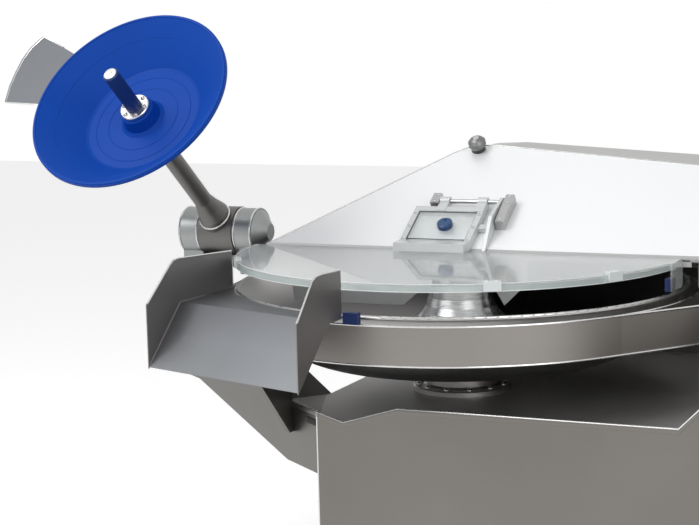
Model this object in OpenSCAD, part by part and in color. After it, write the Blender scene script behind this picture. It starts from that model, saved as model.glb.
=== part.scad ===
// Bowl cutter: a round bowl turns under a knife hood, a clear cover closes its front half,
// and a disc on a swinging arm throws the product over a chute at the front left.
// The bowl's axis is the middle of the drawing. X runs right, Y back and Z up from the floor.

/* [Bowl] */
// Height of the bowl's rim above the floor
rim_h = 1000; // [940:5:1100]
// Distance from the bowl's axis to the middle of its trough
trough_mid = 372; // [366:1:380]
// Radius of the trough's round bottom
trough_r = 240; // [236:1:242]
// Height of the middle of that round above the rim
trough_lift = 38; // [36:1:42]
// Angle at which the outer wall leaves the round bottom
wall_a = 35; // [32:1:38]
// Thickness of the cast bowl
bowl_wall = 10; // [7:1:12]
// Radius of the bead along the rim
bead_r = 7; // [5:0.5:8]
// Radius of the hub cone at its top
hub_top_r = 88; // [70:1:95]
// Radius of the hub cone at its flared foot
hub_foot_r = 128; // [115:1:135]
// Height of the hub cone's top above the rim
hub_top = 52; // [30:1:60]
// Radius of the bowl's shaft
bowl_shaft_r = 40; // [30:1:50]

/* [Bowl guard] */
// Gap between the rim bead and the guard
guard_gap = 27; // [22:1:32]
// Height of the guard's band
guard_h = 107; // [80:1:112]
// Drop of the band's top below the rim
guard_drop = 11; // [8:1:14]
// Thickness of the band
guard_t = 3; // [2:0.5:5]
// Angle right of the front at which the band leaves the round and runs straight
guard_leave_a = 53; // [50:1:58]

/* [Base] */
// Distance from the bowl's axis to the front panel's back
front_d = 521; // [480:1:540]
// Distance from the bowl's axis to the front left corner
left_w = 220; // [200:1:260]
// Distance from the bowl's axis to the left side behind the arm
left_back_w = 333; // [310:1:350]
// Distance from the bowl's axis to the right side of the base
right_w = 860; // [800:5:900]
// Distance from the bowl's axis to the back of the base
back_d = 705; // [700:1:730]
// Drop of the deck below the rim
deck_drop = 310; // [290:1:330]
// Height of the panel's lip above the deck
lip_h = 48; // [30:1:60]
// Height of the levelling feet
foot_h = 110; // [90:5:140]
// Thickness of the housings' sheet
sheet_t = 5; // [3:1:8]
// Depth of the rear housing
rear_d = 245; // [220:5:300]
// Height of the rear housing's top above the rim
rear_top = 20; // [10:1:40]

/* [Drive housing] */
// Width of the drive housing
drive_w = 390; // [370:5:450]
// Height of its rear top above the rim
drive_top = 230; // [210:5:260]
// Drop of its front top, the console, below the rim
console_drop = 75; // [60:5:90]

/* [Support arm] */
// Angle between the arm and the front panel
arm_a = 38; // [36:1:40]
// Width of the arm's box
arm_w = 190; // [170:5:210]
// Length of the arm's box
arm_len = 985; // [960:5:1020]
// Drop of the arm's outer top below the rim
arm_drop = 235; // [225:1:245]

/* [Chute] */
// Angle between the chute's walls and the machine's sides
chute_a = 5.4; // [4:0.1:7]
// Distance between the chute's walls
chute_w = 545; // [500:5:560]
// Angle between the fold and a line square to the walls
fold_a = 13.5; // [12:0.1:15]
// Distance from the bowl's axis to the fold at the left wall
fold_d = 626; // [615:1:640]
// Slope of the slide
slide_a = 45; // [40:1:50]
// Length of the slide down its slope
slide_len = 216; // [180:1:240]
// Height of the flat's top above the rim
flat_lift = 6; // [4:0.5:8]
// Height of the walls above the rim
chute_wall_h = 128; // [110:1:140]
// Thickness of the chute's sheet
chute_t = 3; // [2:0.5:4]

/* [Hood] */
// Slope of the lid
lid_a = 32; // [31:0.5:33]
// Height of the lid's front edge above the rim
seam_lift = 90; // [86:1:94]
// Distance from the bowl's axis to the lid's front edge, in front of it
seam_y = 10; // [8:1:14]
// Thickness of the lid
lid_t = 4; // [3:0.5:5]
// Reach of the lid to the left
lid_left = 625; // [600:1:640]
// Gap between the lid's right side and the drive housing
lid_side_gap = 160; // [140:1:170]
// Length of the lid up its slope at the left
lid_len = 513; // [500:1:520]
// Thickness of the hood's sheet
hood_t = 4; // [3:0.5:5]
// Gap between the back of the hood and the rear housing
hood_back_gap = 60; // [55:1:75]
// Gap between the hood and the rim's plane
hood_gap = 14; // [12:1:16]

/* [Clear cover] */
// Radius of the clear half disc
cover_r = 648; // [640:1:650]
// Thickness of the clear sheet
cover_t = 6; // [4:0.5:8]
// Radius of the rod that the cover turns about
rod_r = 7; // [5:0.5:9]
// Distance from the lid's front edge up its slope to the rod
rod_s = 205; // [195:1:215]
// Height of the rod's middle above the lid
rod_up = 20; // [17:0.5:24]

/* [Knives] */
// Gap between the knives' tips and the trough
knife_gap = 4; // [3:0.5:6]
// Radius of the knife shaft over the rim
neck_r = 28; // [24:1:29]
// Number of knives
knife_n = 6; // [2:1:6]
// Thickness of a knife
knife_t = 6; // [4:0.5:8]
// Radius of the pulley on the knife shaft
knife_pulley_r = 110; // [90:1:120]
// Radius of the pulley on the motor
motor_pulley_r = 88; // [70:1:100]
// Drop of the motor's axis below the knife shaft
motor_drop = 560; // [500:5:600]

/* [Unloader] */
// Distance from the bowl's axis left to the post
post_x = 857; // [840:1:880]
// Distance from the bowl's axis back to the post
post_y = 100; // [80:1:120]
// Height of the tilting axis above the rim
pivot_lift = 115; // [105:1:125]
// Radius of the post
post_r = 54; // [45:1:58]
// Distance right from the post to the arm tube's axis
tube_shift = 39; // [35:1:45]
// Rise of the parked arm tube
tube_rise_a = 41; // [38:0.5:44]
// Turn of the arm tube to the left
tube_turn_a = 3; // [0:0.5:5]
// Distance from the tilting axis to the disc's rim
dish_reach = 668; // [640:1:690]
// Radius of the disc at its rim
dish_r = 305; // [280:1:310]
// Radius of the disc's floor
dish_floor_r = 178; // [160:1:190]
// Depth of the disc
dish_depth = 97; // [85:1:110]
// Thickness of the disc
dish_t = 12; // [8:1:14]
// Radius of the arm tube
tube_r = 28; // [26:1:32]
// Radius of the drums beside the arm's hub
drum_r = 72; // [66:1:78]

/* [Fits] */
// Gap all round a turning shaft
run_fit = 0.05; // [0.02:0.01:0.1]
// Gap between faces that pass each other
clear = 0.5; // [0.3:0.1:1]

/* [Hidden] */
$fn = 96;

// The bowl's axis from the middle of the whole machine's footprint
bowl_x = 69.5;
bowl_y = -20;

// One overrun serves every cut
over = 2;

// Places of the bowl
deck_z = rim_h - deck_drop;
trough_z = rim_h + trough_lift;
cone_r0 = trough_mid + trough_r * cos(wall_a);
cone_z0 = trough_z - trough_r * sin(wall_a);
rim_in_r = cone_r0 + (rim_h - cone_z0) * tan(wall_a);
wall_run = bowl_wall / cos(wall_a);
bead_mid = rim_in_r + wall_run / 2;
bowl_out_r = bead_mid + bead_r;
inner_a = 45;
bowl_bore_r = 24;
dish_up = 30;
saddle_z = trough_z - trough_r * sin(inner_a);
hub_z = saddle_z + dish_up;

// Places of the guard
guard_r = bowl_out_r + guard_gap;
guard_top = rim_h - guard_drop;
guard_low = guard_top - guard_h;

// Places of the housings
drive_x0 = right_w;
drive_x1 = right_w + drive_w;
rear_y0 = back_d;
rear_y1 = back_d + rear_d;
rear_z = rim_h + rear_top;
console_z = rim_h - console_drop;
panel_t = sheet_t;
deck_t = 4;
slope_rise = 87;
// Share of the left width at which the front panel's edge meets the deck
valley_share = 0.645;
// Share of the left width from the axis to where the lip is level
lip_level_share = 0.073;
seam_up = 24;

// Places of the knives
knife_y = trough_mid;
knife_z = trough_z;
knife_r = trough_r - knife_gap;
journal_r = 40;
motor_forward = 40;
motor_y = knife_y - motor_forward;
motor_z = knife_z - motor_drop;
pulley_w = 78;
pulley_in = 120;
pulley_x = drive_x0 + pulley_in;
bearing_len = 205;
bearing_x0 = drive_x0 - bearing_len;
roller_w = 30;
roller_t = 25;
roller_front = 18;
roller_back = 46;
roller_xs = [bearing_x0 + roller_front, drive_x0 - roller_back];

// Places of the hood and its hinge
lid_right = right_w - lid_side_gap;
hood_back = back_d - hood_back_gap;
seam_z = rim_h + seam_lift;
hinge_back = 80;
hinge_y = rear_y0 + hinge_back;
hinge_up = 62;
hinge_z = rear_z + hinge_up;
hinge_pin_r = 12;
hood_low = rim_h + hood_gap;

// Places of the unloader
pivot_z = rim_h + pivot_lift;
hub_half = 58;

function arc(cx, cy, r, a0, a1, n) =
    [for (i = [0 : n]) [cx + r * cos(a0 + (a1 - a0) * i / n), cy + r * sin(a0 + (a1 - a0) * i / n)]];
function on_lid(x, s, up) =
    [x, -seam_y + s * cos(lid_a) - up * sin(lid_a), seam_z + s * sin(lid_a) + up * cos(lid_a)];

module in_frame() { translate([bowl_x, bowl_y, 0]) children(); }
module plate_xz(pts, y, t) { translate([0, y + t, 0]) rotate([90, 0, 0]) linear_extrude(t) polygon(pts); }
module plate_yz(pts, x, t) { translate([x, 0, 0]) rotate([90, 0, 90]) linear_extrude(t) polygon(pts); }
module along_x(x0, x1, r, y, z) {
    translate([x0, y, z]) rotate([0, 90, 0]) cylinder(h = x1 - x0, r = r);
}
module tube_x(x0, x1, r, bore, y, z) {
    difference() {
        along_x(x0, x1, r, y, z);
        along_x(x0 - over, x1 + over, bore, y, z);
    }
}
module lid_frame() { translate([0, -seam_y, seam_z]) rotate([lid_a, 0, 0]) children(); }
module chute_frame() { rotate([0, 0, -chute_a]) children(); }
module arm_frame() {
    translate([-left_w, -front_d, 0]) rotate([0, 0, 180 - arm_a]) mirror([0, 1, 0]) children();
}
module box_between(lo, hi) { translate(lo) cube(hi - lo); }

// Base: a welded box on levelling feet, with a front panel, a deck and the unloader's arm
base_front_y = -front_d;
// Share of the front distance at which the base's left side turns square
back_corner_share = 0.43;
motor_hole_gap = 4;
module motor_hole() {
    along_x(drive_x0 - sheet_t - over, drive_x0 + sheet_t + over, motor_r + motor_hole_gap, motor_y, motor_z);
}
base_plan = [[-left_w, base_front_y], [right_w, base_front_y], [right_w, back_d],
    [-left_back_w, back_d], [-left_back_w, -front_d * back_corner_share]];
base_cavity = [[-left_w + sheet_t, base_front_y + sheet_t], [right_w - sheet_t, base_front_y + sheet_t],
    [right_w - sheet_t, back_d - sheet_t], [-left_back_w + sheet_t, back_d - sheet_t],
    [-left_back_w + sheet_t, -front_d * back_corner_share]];
module base_housing() color([0.62, 0.61, 0.60]) {
    top = deck_z - deck_t;
    difference() {
        translate([0, 0, foot_h]) linear_extrude(top - foot_h) polygon(base_plan);
        translate([0, 0, foot_h + sheet_t]) linear_extrude(top) polygon(base_cavity);
        motor_hole();
    }
}

module front_panel() color([0.58, 0.57, 0.55]) {
    plate_xz([[-left_w, foot_h], [-left_w, deck_z + seam_up], [-left_w * valley_share, deck_z],
        [left_w * lip_level_share, deck_z + lip_h], [right_w - slope_rise, deck_z + lip_h],
        [right_w, deck_z + lip_h + slope_rise], [right_w, foot_h]], base_front_y - panel_t, panel_t);
}

module deck_plate() color([0.55, 0.55, 0.55]) {
    difference() {
        translate([0, 0, deck_z - deck_t]) linear_extrude(deck_t) polygon(base_plan);
        translate([0, 0, deck_z - deck_t - over]) cylinder(h = deck_t + 2 * over, r = bowl_shaft_r + clear);
    }
}

// The arm's box is a bent plate in front and behind, with its outline level at the base,
// then stepping up to a flat seat for the post
arm_h = 150;
arm_low = deck_drop + arm_h;
arm_foot_u = 197;
arm_step_u = 287;
arm_top_u = 560;
arm_tip_u = 814;
arm_tip_h = 98;
socket_h = 150;
socket_r = 76;
socket_flange_r = 92;
flange_t = 12;
arm_outer = [[0, rim_h - arm_low], [arm_foot_u, rim_h - arm_low], [arm_tip_u, rim_h - arm_drop - arm_tip_h],
    [arm_len, rim_h - arm_drop - arm_tip_h], [arm_len, rim_h - arm_drop], [arm_top_u, rim_h - arm_drop],
    [arm_step_u, deck_z], [0, deck_z]];
arm_inner = [[sheet_t, rim_h - arm_low + sheet_t], [arm_foot_u, rim_h - arm_low + sheet_t],
    [arm_tip_u, rim_h - arm_drop - arm_tip_h + sheet_t],
    [arm_len - sheet_t, rim_h - arm_drop - arm_tip_h + sheet_t],
    [arm_len - sheet_t, rim_h - arm_drop - sheet_t], [arm_top_u, rim_h - arm_drop - sheet_t],
    [arm_step_u, deck_z - sheet_t], [sheet_t, deck_z - sheet_t]];
arm_lip = [[0, deck_z], [0, deck_z + seam_up], [arm_step_u, deck_z + seam_up], [arm_top_u, rim_h - arm_drop],
    [arm_step_u, deck_z]];
module support_arm() color([0.58, 0.57, 0.55]) {
    difference() {
        union() {
            arm_frame() plate_xz(arm_outer, 0, arm_w);
            arm_frame() plate_xz(arm_lip, 0, sheet_t);
        }
        arm_frame() plate_xz(arm_inner, sheet_t, arm_w - 2 * sheet_t);
        linear_extrude(rim_h) polygon(base_plan);
        box_between([-left_w - over, -front_d - arm_w, 0], [right_w, -front_d, rim_h]);
    }
    translate([-post_x, post_y, rim_h - arm_drop]) difference() {
        union() {
            cylinder(h = socket_h, r = socket_r);
            cylinder(h = flange_t, r = socket_flange_r);
        }
        translate([0, 0, flange_t]) cylinder(h = socket_h, r = post_r + run_fit);
    }
}

module rear_housing() color([0.60, 0.60, 0.59]) {
    difference() {
        box_between([-left_back_w, rear_y0, foot_h], [right_w, rear_y1, rear_z]);
        box_between([-left_back_w + sheet_t, rear_y0 + sheet_t, foot_h + sheet_t],
            [right_w - sheet_t, rear_y1 - sheet_t, rear_z - sheet_t]);
    }
}

// Drive housing: a side outline with the console in front and the belt cover behind. In front of
// the belt cover its left top corner follows the slope at the front panel's right end
console_len = 300;
console_y1 = console_len - front_d;
console_rise = 80;
shoulder_up = 10;
shoulder_z = rim_h + shoulder_up;
shoulder_y = 100;
belt_y0 = 210;
belt_back = 230;
belt_y1 = rear_y1 - belt_back;
drive_back_up = 60;
slope_z = deck_z + lip_h + slope_rise;
module drive_block(g) {
    difference() {
        plate_yz([[g - front_d - panel_t, foot_h + g], [g - front_d - panel_t, console_z - g],
            [console_y1 + g, console_z - g], [console_y1 + console_rise + g, shoulder_z - g],
            [shoulder_y + g, shoulder_z - g], [belt_y0 + g, rim_h + drive_top - g],
            [belt_y1 - g, rim_h + drive_top - g], [rear_y1 - g, rim_h + drive_back_up - g],
            [rear_y1 - g, foot_h + g]], drive_x0 + g, drive_w - 2 * g);
        translate([g, 0, -g]) plate_xz([[drive_x0 - over, slope_z - over],
            [drive_x0 + slope_rise, slope_z + slope_rise], [drive_x0 + slope_rise, rim_h * 2],
            [drive_x0 - over, rim_h * 2]],
            -front_d - panel_t - over, console_len + panel_t + over + g);
    }
}
door_front = 130;
door_y0 = door_front - front_d;
door_y1 = 330;
door_up = 110;
door_z0 = foot_h + door_up;
door_drop = 190;
door_z1 = rim_h - door_drop;
door_t = 4;
door_lap = 25;
shaft_hole_gap = 4;
module drive_housing() color([0.60, 0.60, 0.58]) {
    difference() {
        drive_block(0);
        drive_block(sheet_t);
        box_between([drive_x1 - sheet_t - over, door_y0 + door_lap, door_z0 + door_lap],
            [drive_x1 + over, door_y1 - door_lap, door_z1 - door_lap]);
        along_x(drive_x0 - over, drive_x0 + sheet_t + over, journal_r + shaft_hole_gap, knife_y, knife_z);
        motor_hole();
    }
}

foot_pad_r = 42;
foot_pad_h = 22;
foot_stem_r = 14;
foot_nut_r = 26;
foot_nut_t = 14;
// Share of the pad's radius at the top of its slope
foot_pad_top_share = 0.53;
foot_inset = 85;
module foot() {
    cylinder(h = foot_pad_h / 2, r = foot_pad_r);
    translate([0, 0, foot_pad_h / 2])
        cylinder(h = foot_pad_h / 2, r1 = foot_pad_r, r2 = foot_pad_r * foot_pad_top_share);
    cylinder(h = foot_h, r = foot_stem_r);
    translate([0, 0, foot_h - foot_nut_t]) cylinder(h = foot_nut_t, r = foot_nut_r, $fn = 6);
}
foot_places = [[-left_w + foot_inset, -front_d + foot_inset], [right_w - foot_inset, -front_d + foot_inset],
    [-left_back_w + foot_inset, rear_y1 - foot_inset], [right_w - foot_inset, rear_y1 - foot_inset],
    [drive_x1 - foot_inset, -front_d + foot_inset], [drive_x1 - foot_inset, rear_y1 - foot_inset]];
module levelling_feet() color([0.75, 0.75, 0.76]) {
    for (p = foot_places) translate([p[0], p[1], 0]) foot();
}

// Service door on the right side, on two hinges along its back edge
hinge_r = 9;
door_axis_x = drive_x1 + door_t + hinge_r;
door_axis_back = 14;
door_axis_y = door_y1 + door_axis_back;
knuckle_h = 44;
door_pin_r = 4;
hinge_inset = 80;
hinge_leaf = 20;
hinge_zs = [door_z0 + hinge_inset, door_z1 - hinge_inset - knuckle_h];
latch_in = 38;
latch_y = door_y0 + latch_in;
latch_z = (door_z0 + door_z1) / 2;
latch_r = 15;
latch_stem_r = 9;
latch_knob_t = 12;
latch_grip_t = 8;
latch_grip_w = 9;
module service_door() color([0.63, 0.63, 0.62]) {
    difference() {
        box_between([drive_x1 + clear, door_y0, door_z0], [drive_x1 + clear + door_t, door_y1, door_z1]);
        along_x(drive_x1 - over, drive_x1 + clear + door_t + over, latch_stem_r, latch_y, latch_z);
    }
    for (z = hinge_zs) difference() {
        union() {
            translate([door_axis_x, door_axis_y, z + knuckle_h / 2 + clear])
                cylinder(h = knuckle_h / 2 - clear, r = hinge_r);
            box_between([drive_x1 + clear, door_y1 - hinge_leaf, z + knuckle_h / 2 + clear],
                [drive_x1 + clear + door_t, door_axis_y, z + knuckle_h]);
            box_between([drive_x1 + clear, door_axis_y - hinge_r, z + knuckle_h / 2 + clear],
                [door_axis_x, door_axis_y, z + knuckle_h]);
        }
        translate([door_axis_x, door_axis_y, z]) cylinder(h = knuckle_h + over, r = door_pin_r + run_fit);
    }
}
module door_hinge() color([0.7, 0.7, 0.7]) {
    for (z = hinge_zs) {
        translate([door_axis_x, door_axis_y, z]) cylinder(h = knuckle_h / 2, r = hinge_r);
        translate([door_axis_x, door_axis_y, z]) cylinder(h = knuckle_h, r = door_pin_r);
        box_between([drive_x1, door_axis_y, z], [door_axis_x, door_axis_y + hinge_leaf, z + knuckle_h / 2]);
    }
}
module door_latch() color([0.2, 0.2, 0.2]) {
    face = drive_x1 + clear + door_t;
    along_x(drive_x1 - sheet_t, face + clear, latch_stem_r - run_fit, latch_y, latch_z);
    along_x(face, face + latch_knob_t, latch_r, latch_y, latch_z);
    box_between([face + latch_knob_t, latch_y - latch_grip_w / 2, latch_z - latch_r],
        [face + latch_knob_t + latch_grip_t, latch_y + latch_grip_w / 2, latch_z + latch_r]);
}

// Chute: a flat beside the rim, a slide from its fold down and out, and two walls
fold_run = chute_w / cos(fold_a);
slide_run = slide_len * cos(slide_a) / cos(fold_a);
slide_drop = slide_len * sin(slide_a);
fold_right_d = fold_d + chute_w * tan(fold_a);
rim_gap = 6;
module chute_slide() color([0.66, 0.68, 0.70]) {
    chute_frame() difference() {
        translate([0, 0, rim_h + flat_lift - chute_t]) linear_extrude(chute_t)
            polygon([[-chute_w, -fold_d], [0, -fold_right_d], [0, -fold_right_d / 2], [-chute_w, -fold_d / 2]]);
        translate([0, 0, rim_h - over]) cylinder(h = flat_lift + over * 2, r = bowl_out_r + rim_gap);
    }
    chute_frame() intersection() {
        translate([-chute_w, -fold_d, rim_h + flat_lift]) rotate([0, 0, -fold_a]) rotate([slide_a, 0, 0])
            translate([0, 0, -chute_t]) linear_extrude(chute_t) polygon([[0, 0], [fold_run, 0],
                [fold_run + slide_run * sin(fold_a), -slide_len], [slide_run * sin(fold_a), -slide_len]]);
        box_between([-chute_w, -front_d * 2, 0], [0, 0, rim_h * 2]);
    }
}
wall_lip = 22;
left_back_d = 366;
right_back_d = 692;
left_front_d = fold_d + slide_run;
right_front_d = fold_right_d + slide_run;
slide_foot_z = rim_h + flat_lift - slide_drop - chute_t * 2;
// Outlines of the walls' tops, as shares of their height, forward of the fold and below the top
left_top_share = [[-0.328, 0.109], [-0.203, 0.039], [-0.031, 0.016]];
left_back_share = 0.117;
right_top_share = [[-0.594, 0.062], [-0.438, -0.008], [-0.203, -0.023]];
right_back_share = -0.016;
right_lip_up = 4;
module chute_left_wall() color([0.50, 0.49, 0.48]) {
    h = chute_wall_h;
    chute_frame() plate_yz(concat(
        [[-left_front_d, slide_foot_z], [-left_front_d, rim_h + wall_lip]],
        [for (p = left_top_share) [p[0] * h - fold_d, rim_h + h - p[1] * h]],
        [[-left_back_d, rim_h + h - left_back_share * h], [-left_back_d, rim_h + flat_lift - chute_t],
         [-fold_d, rim_h + flat_lift - chute_t * 2]]),
        -chute_w - chute_t, chute_t);
}
module chute_right_wall() color([0.52, 0.51, 0.49]) {
    h = chute_wall_h;
    chute_frame() plate_yz(concat(
        [[-right_front_d, slide_foot_z], [-right_front_d, rim_h + wall_lip + right_lip_up]],
        [for (p = right_top_share) [p[0] * h - fold_right_d, rim_h + h - p[1] * h]],
        [[-right_back_d, rim_h + h - right_back_share * h], [-right_back_d, rim_h + flat_lift - chute_t],
         [-fold_right_d, rim_h + flat_lift - chute_t * 2]]),
        0, chute_t);
}
// Blue pads beside the walls carry the chute's back corners on the guard's top edge
pad_len = 42;
pad_depth = 20;
pad_h = 30;
module chute_pads() color([0.02, 0.25, 0.62]) {
    chute_frame() box_between([chute_t, -guard_r - pad_depth / 2, guard_top],
        [chute_t + pad_len, pad_depth / 2 - guard_r, guard_top + pad_h]);
}
// The bracket stands in front of the guard and carries the flat from the arm's front plate
bracket_u = 130;
bracket_t = 10;
bracket_gap = 10;
bracket_h = 60;
bracket_foot = 30;
bracket_w = 46;
module chute_bracket() color([0.5, 0.5, 0.5]) {
    x = -left_w - bracket_u;
    y0 = -front_d + bracket_u * tan(arm_a);
    y1 = -sqrt(pow(guard_r + guard_t, 2) - x * x) - bracket_gap;
    difference() {
        plate_yz([[y0 + bracket_h, deck_z - bracket_h], [y0 + bracket_h, deck_z + seam_up - over],
            [y1, guard_low - bracket_w],
            [y1, rim_h + flat_lift - chute_t], [y1 - bracket_w, rim_h + flat_lift - chute_t],
            [y1 - bracket_w, guard_low - bracket_h], [y0 - bracket_foot, deck_z - bracket_h]], x, bracket_t);
        arm_frame() box_between([0, 0, 0], [arm_len, arm_w, rim_h * 2]);
    }
}

// Guard: a band round the bowl that leaves the round at the right and runs to the drive housing
leave = [guard_r * sin(guard_leave_a), -guard_r * cos(guard_leave_a)];
straight_len = (drive_x0 - leave[0] - guard_t * sin(guard_leave_a)) / cos(guard_leave_a);
module bowl_guard() color([0.60, 0.59, 0.56]) {
    translate([0, 0, guard_low]) {
        difference() {
            cylinder(h = guard_h, r = guard_r + guard_t);
            translate([0, 0, -over]) cylinder(h = guard_h + 2 * over, r = guard_r);
        }
        intersection() {
            translate([leave[0], leave[1], 0]) rotate([0, 0, guard_leave_a])
                cube([straight_len + guard_gap, guard_t, guard_h]);
            box_between([0, -front_d, 0], [drive_x0, rear_y1, guard_h]);
        }
    }
}
// Brackets: one from the rear housing and one that stands on the arm
bracket_half = 40;
foot_bracket_a = 183;
foot_bracket_in = 60;
foot_bracket_wall = 8;
module guard_brackets() color([0.5, 0.5, 0.5]) {
    difference() {
        union() {
            box_between([-bracket_half, guard_r, guard_low + bracket_half / 2],
                [bracket_half, rear_y0, guard_top - bracket_half / 2]);
            rotate([0, 0, foot_bracket_a]) difference() {
                box_between([guard_r - foot_bracket_in, -bracket_half, rim_h - arm_drop],
                    [guard_r + guard_t + foot_bracket_wall, bracket_half, guard_low + bracket_half]);
                box_between([guard_r - foot_bracket_in - over, foot_bracket_wall - bracket_half,
                    rim_h - arm_drop + foot_bracket_wall],
                    [guard_r + guard_t, bracket_half - foot_bracket_wall, rim_h]);
            }
        }
        translate([0, 0, guard_low]) cylinder(h = guard_h, r = guard_r + guard_t);
    }
}

// Bowl, its hub cone and what carries and turns them
module bowl() color([0.70, 0.70, 0.69]) {
    shell = concat(
        [[rim_in_r, rim_h]],
        arc(trough_mid, trough_z, trough_r, -wall_a, -180 + inner_a, 30),
        [[hub_foot_r, hub_z], [bowl_bore_r, hub_z], [bowl_bore_r, hub_z - bowl_wall],
         [hub_foot_r - bowl_wall / 2, hub_z - bowl_wall]],
        arc(trough_mid, trough_z, trough_r + bowl_wall, -180 + inner_a, -wall_a, 30),
        [[rim_in_r + wall_run, rim_h]]);
    rotate_extrude($fn = 180) polygon(shell);
    rotate_extrude($fn = 180) translate([bead_mid, rim_h]) circle(r = bead_r, $fn = 24);
}
hub_t = 6;
// Shares of the hub's height and of its flare, from the foot up
hub_curve_share = [[0, 1], [0.04, 0.92], [0.12, 0.62], [0.24, 0.34], [0.40, 0.17], [0.60, 0.08],
    [0.88, 0.02], [0.96, 0]];
// Share of the top's radius inside its rounded edge, and share of the height where the inside narrows
hub_edge_share = 0.93;
hub_inside_share = 0.4;
module hub_cone() color([0.80, 0.80, 0.80]) {
    h = rim_h + hub_top - hub_z;
    skirt = [for (p = hub_curve_share) [hub_top_r + (hub_foot_r - hub_top_r) * p[1], hub_z + h * p[0]]];
    rotate_extrude($fn = 120) polygon(concat(
        [[hub_foot_r - hub_t, hub_z]], skirt,
        [[hub_top_r * hub_edge_share, rim_h + hub_top], [0, rim_h + hub_top], [0, rim_h + hub_top - hub_t],
         [hub_top_r - hub_t * 2, rim_h + hub_top - hub_t], [hub_top_r - hub_t, hub_z + h * hub_inside_share]]));
}
pedestal_r = 106;
pedestal_gap = 45;
pedestal_top = hub_z - bowl_wall - pedestal_gap;
bearing_seat = 6;
bearing_relief = 8;
bearing_w = 24;
bearing_r = 70;
shaft_drop = 230;
shaft_low = deck_z - shaft_drop;
bearing_zs = [deck_z + bearing_seat, pedestal_top - bearing_w - bearing_seat];
module bowl_pedestal() color([0.78, 0.78, 0.78]) {
    difference() {
        translate([0, 0, deck_z]) cylinder(h = pedestal_top - deck_z, r = pedestal_r);
        translate([0, 0, deck_z - over]) cylinder(h = pedestal_top, r = bowl_shaft_r + bearing_relief);
        for (z = bearing_zs) translate([0, 0, z]) cylinder(h = bearing_w, r = bearing_r);
    }
}
module shaft_bearings() color([0.6, 0.6, 0.62]) {
    for (x = roller_xs) tube_x(x, x + roller_w, journal_r + roller_t, journal_r + run_fit, knife_y, knife_z);
    for (z = bearing_zs) translate([0, 0, z]) difference() {
        cylinder(h = bearing_w, r = bearing_r);
        translate([0, 0, -over]) cylinder(h = bearing_w + 2 * over, r = bowl_shaft_r + run_fit);
    }
}
shaft_flange_r = 105;
shaft_flange_t = 20;
module bowl_shaft() color([0.7, 0.7, 0.72]) {
    translate([0, 0, shaft_low]) cylinder(h = hub_z - bowl_wall - shaft_low, r = bowl_shaft_r);
    translate([0, 0, hub_z - bowl_wall - shaft_flange_t]) cylinder(h = shaft_flange_t, r = shaft_flange_r);
}
gear_half = 130;
gear_h = 150;
bowl_motor_r = 75;
bowl_motor_len = 260;
module bowl_gearmotor() color([0.35, 0.45, 0.55]) {
    z1 = deck_z - deck_t;
    z0 = z1 - gear_h;
    difference() {
        union() {
            box_between([-gear_half, -gear_half, z0], [gear_half, gear_half, z1]);
            along_x(gear_half, gear_half + bowl_motor_len, bowl_motor_r, 0, z0 + gear_h / 2);
        }
        translate([0, 0, z0 - over]) cylinder(h = gear_h + 2 * over, r = bowl_shaft_r + run_fit);
    }
}

// Knife shaft, its bearings and its belt drive
head_r = 62;
knife_pitch = 22;
knife_x0 = -knife_pitch * 2.5;
shaft_tip = 60;
shaft_end = knife_x0 - shaft_tip;
journal_end = 20;
module knife_shaft() color([0.72, 0.72, 0.74]) {
    along_x(shaft_end, bearing_x0, neck_r, knife_y, knife_z);
    along_x(bearing_x0, pulley_x + pulley_w + journal_end, journal_r, knife_y, knife_z);
    difference() {
        along_x(knife_x0 - knife_pitch, knife_x0 + knife_pitch * knife_n, head_r, knife_y, knife_z);
        for (i = [0 : knife_n - 1]) translate([knife_pitch * i, 0, 0])
            along_x(knife_x0, knife_x0 + knife_t, head_r + over, knife_y, knife_z);
    }
    along_x(knife_x0, knife_x0 + knife_pitch * knife_n, neck_r, knife_y, knife_z);
}
// A sickle knife: its edge runs out along an arc to the tip, and its back is hollow.
// Places and radii of its arcs are shares of its reach
root_r = 70;
edge_share = [0.42, 0.30, 0.62];
back_share = [0.05, 0.98, 0.60];
foot_share = 0.1;
module blade() {
    difference() {
        union() {
            intersection() {
                cylinder(h = knife_t, r = knife_r);
                translate([knife_r * edge_share[0], knife_r * edge_share[1], 0])
                    cylinder(h = knife_t, r = knife_r * edge_share[2]);
                box_between([-knife_r, -knife_r * foot_share, 0], [knife_r, knife_r, knife_t]);
            }
            cylinder(h = knife_t, r = root_r);
        }
        translate([knife_r * back_share[0], knife_r * back_share[1], -over])
            cylinder(h = knife_t + 2 * over, r = knife_r * back_share[2]);
        translate([0, 0, -over]) cylinder(h = knife_t + 2 * over, r = neck_r);
    }
}
module cutting_knives() color([0.82, 0.83, 0.85]) {
    for (i = [0 : knife_n - 1])
        translate([knife_x0 + knife_pitch * i, knife_y, knife_z])
            rotate([i * 360 / knife_n + (i % 2) * 180, 0, 0]) rotate([0, 90, 0]) blade();
}
nut_r = 52;
nut_t = 34;
module clamp_nut() color([0.65, 0.65, 0.67]) {
    difference() {
        along_x(knife_x0 - knife_pitch - nut_t, knife_x0 - knife_pitch, nut_r, knife_y, knife_z, $fn = 6);
        along_x(knife_x0 - knife_pitch - nut_t - over, knife_x0 - knife_pitch + over, neck_r, knife_y, knife_z);
    }
}
housing_r = 88;
housing_in = 10;
housing_flange_r = 120;
housing_flange_t = 22;
housing_relief = 6;
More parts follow.
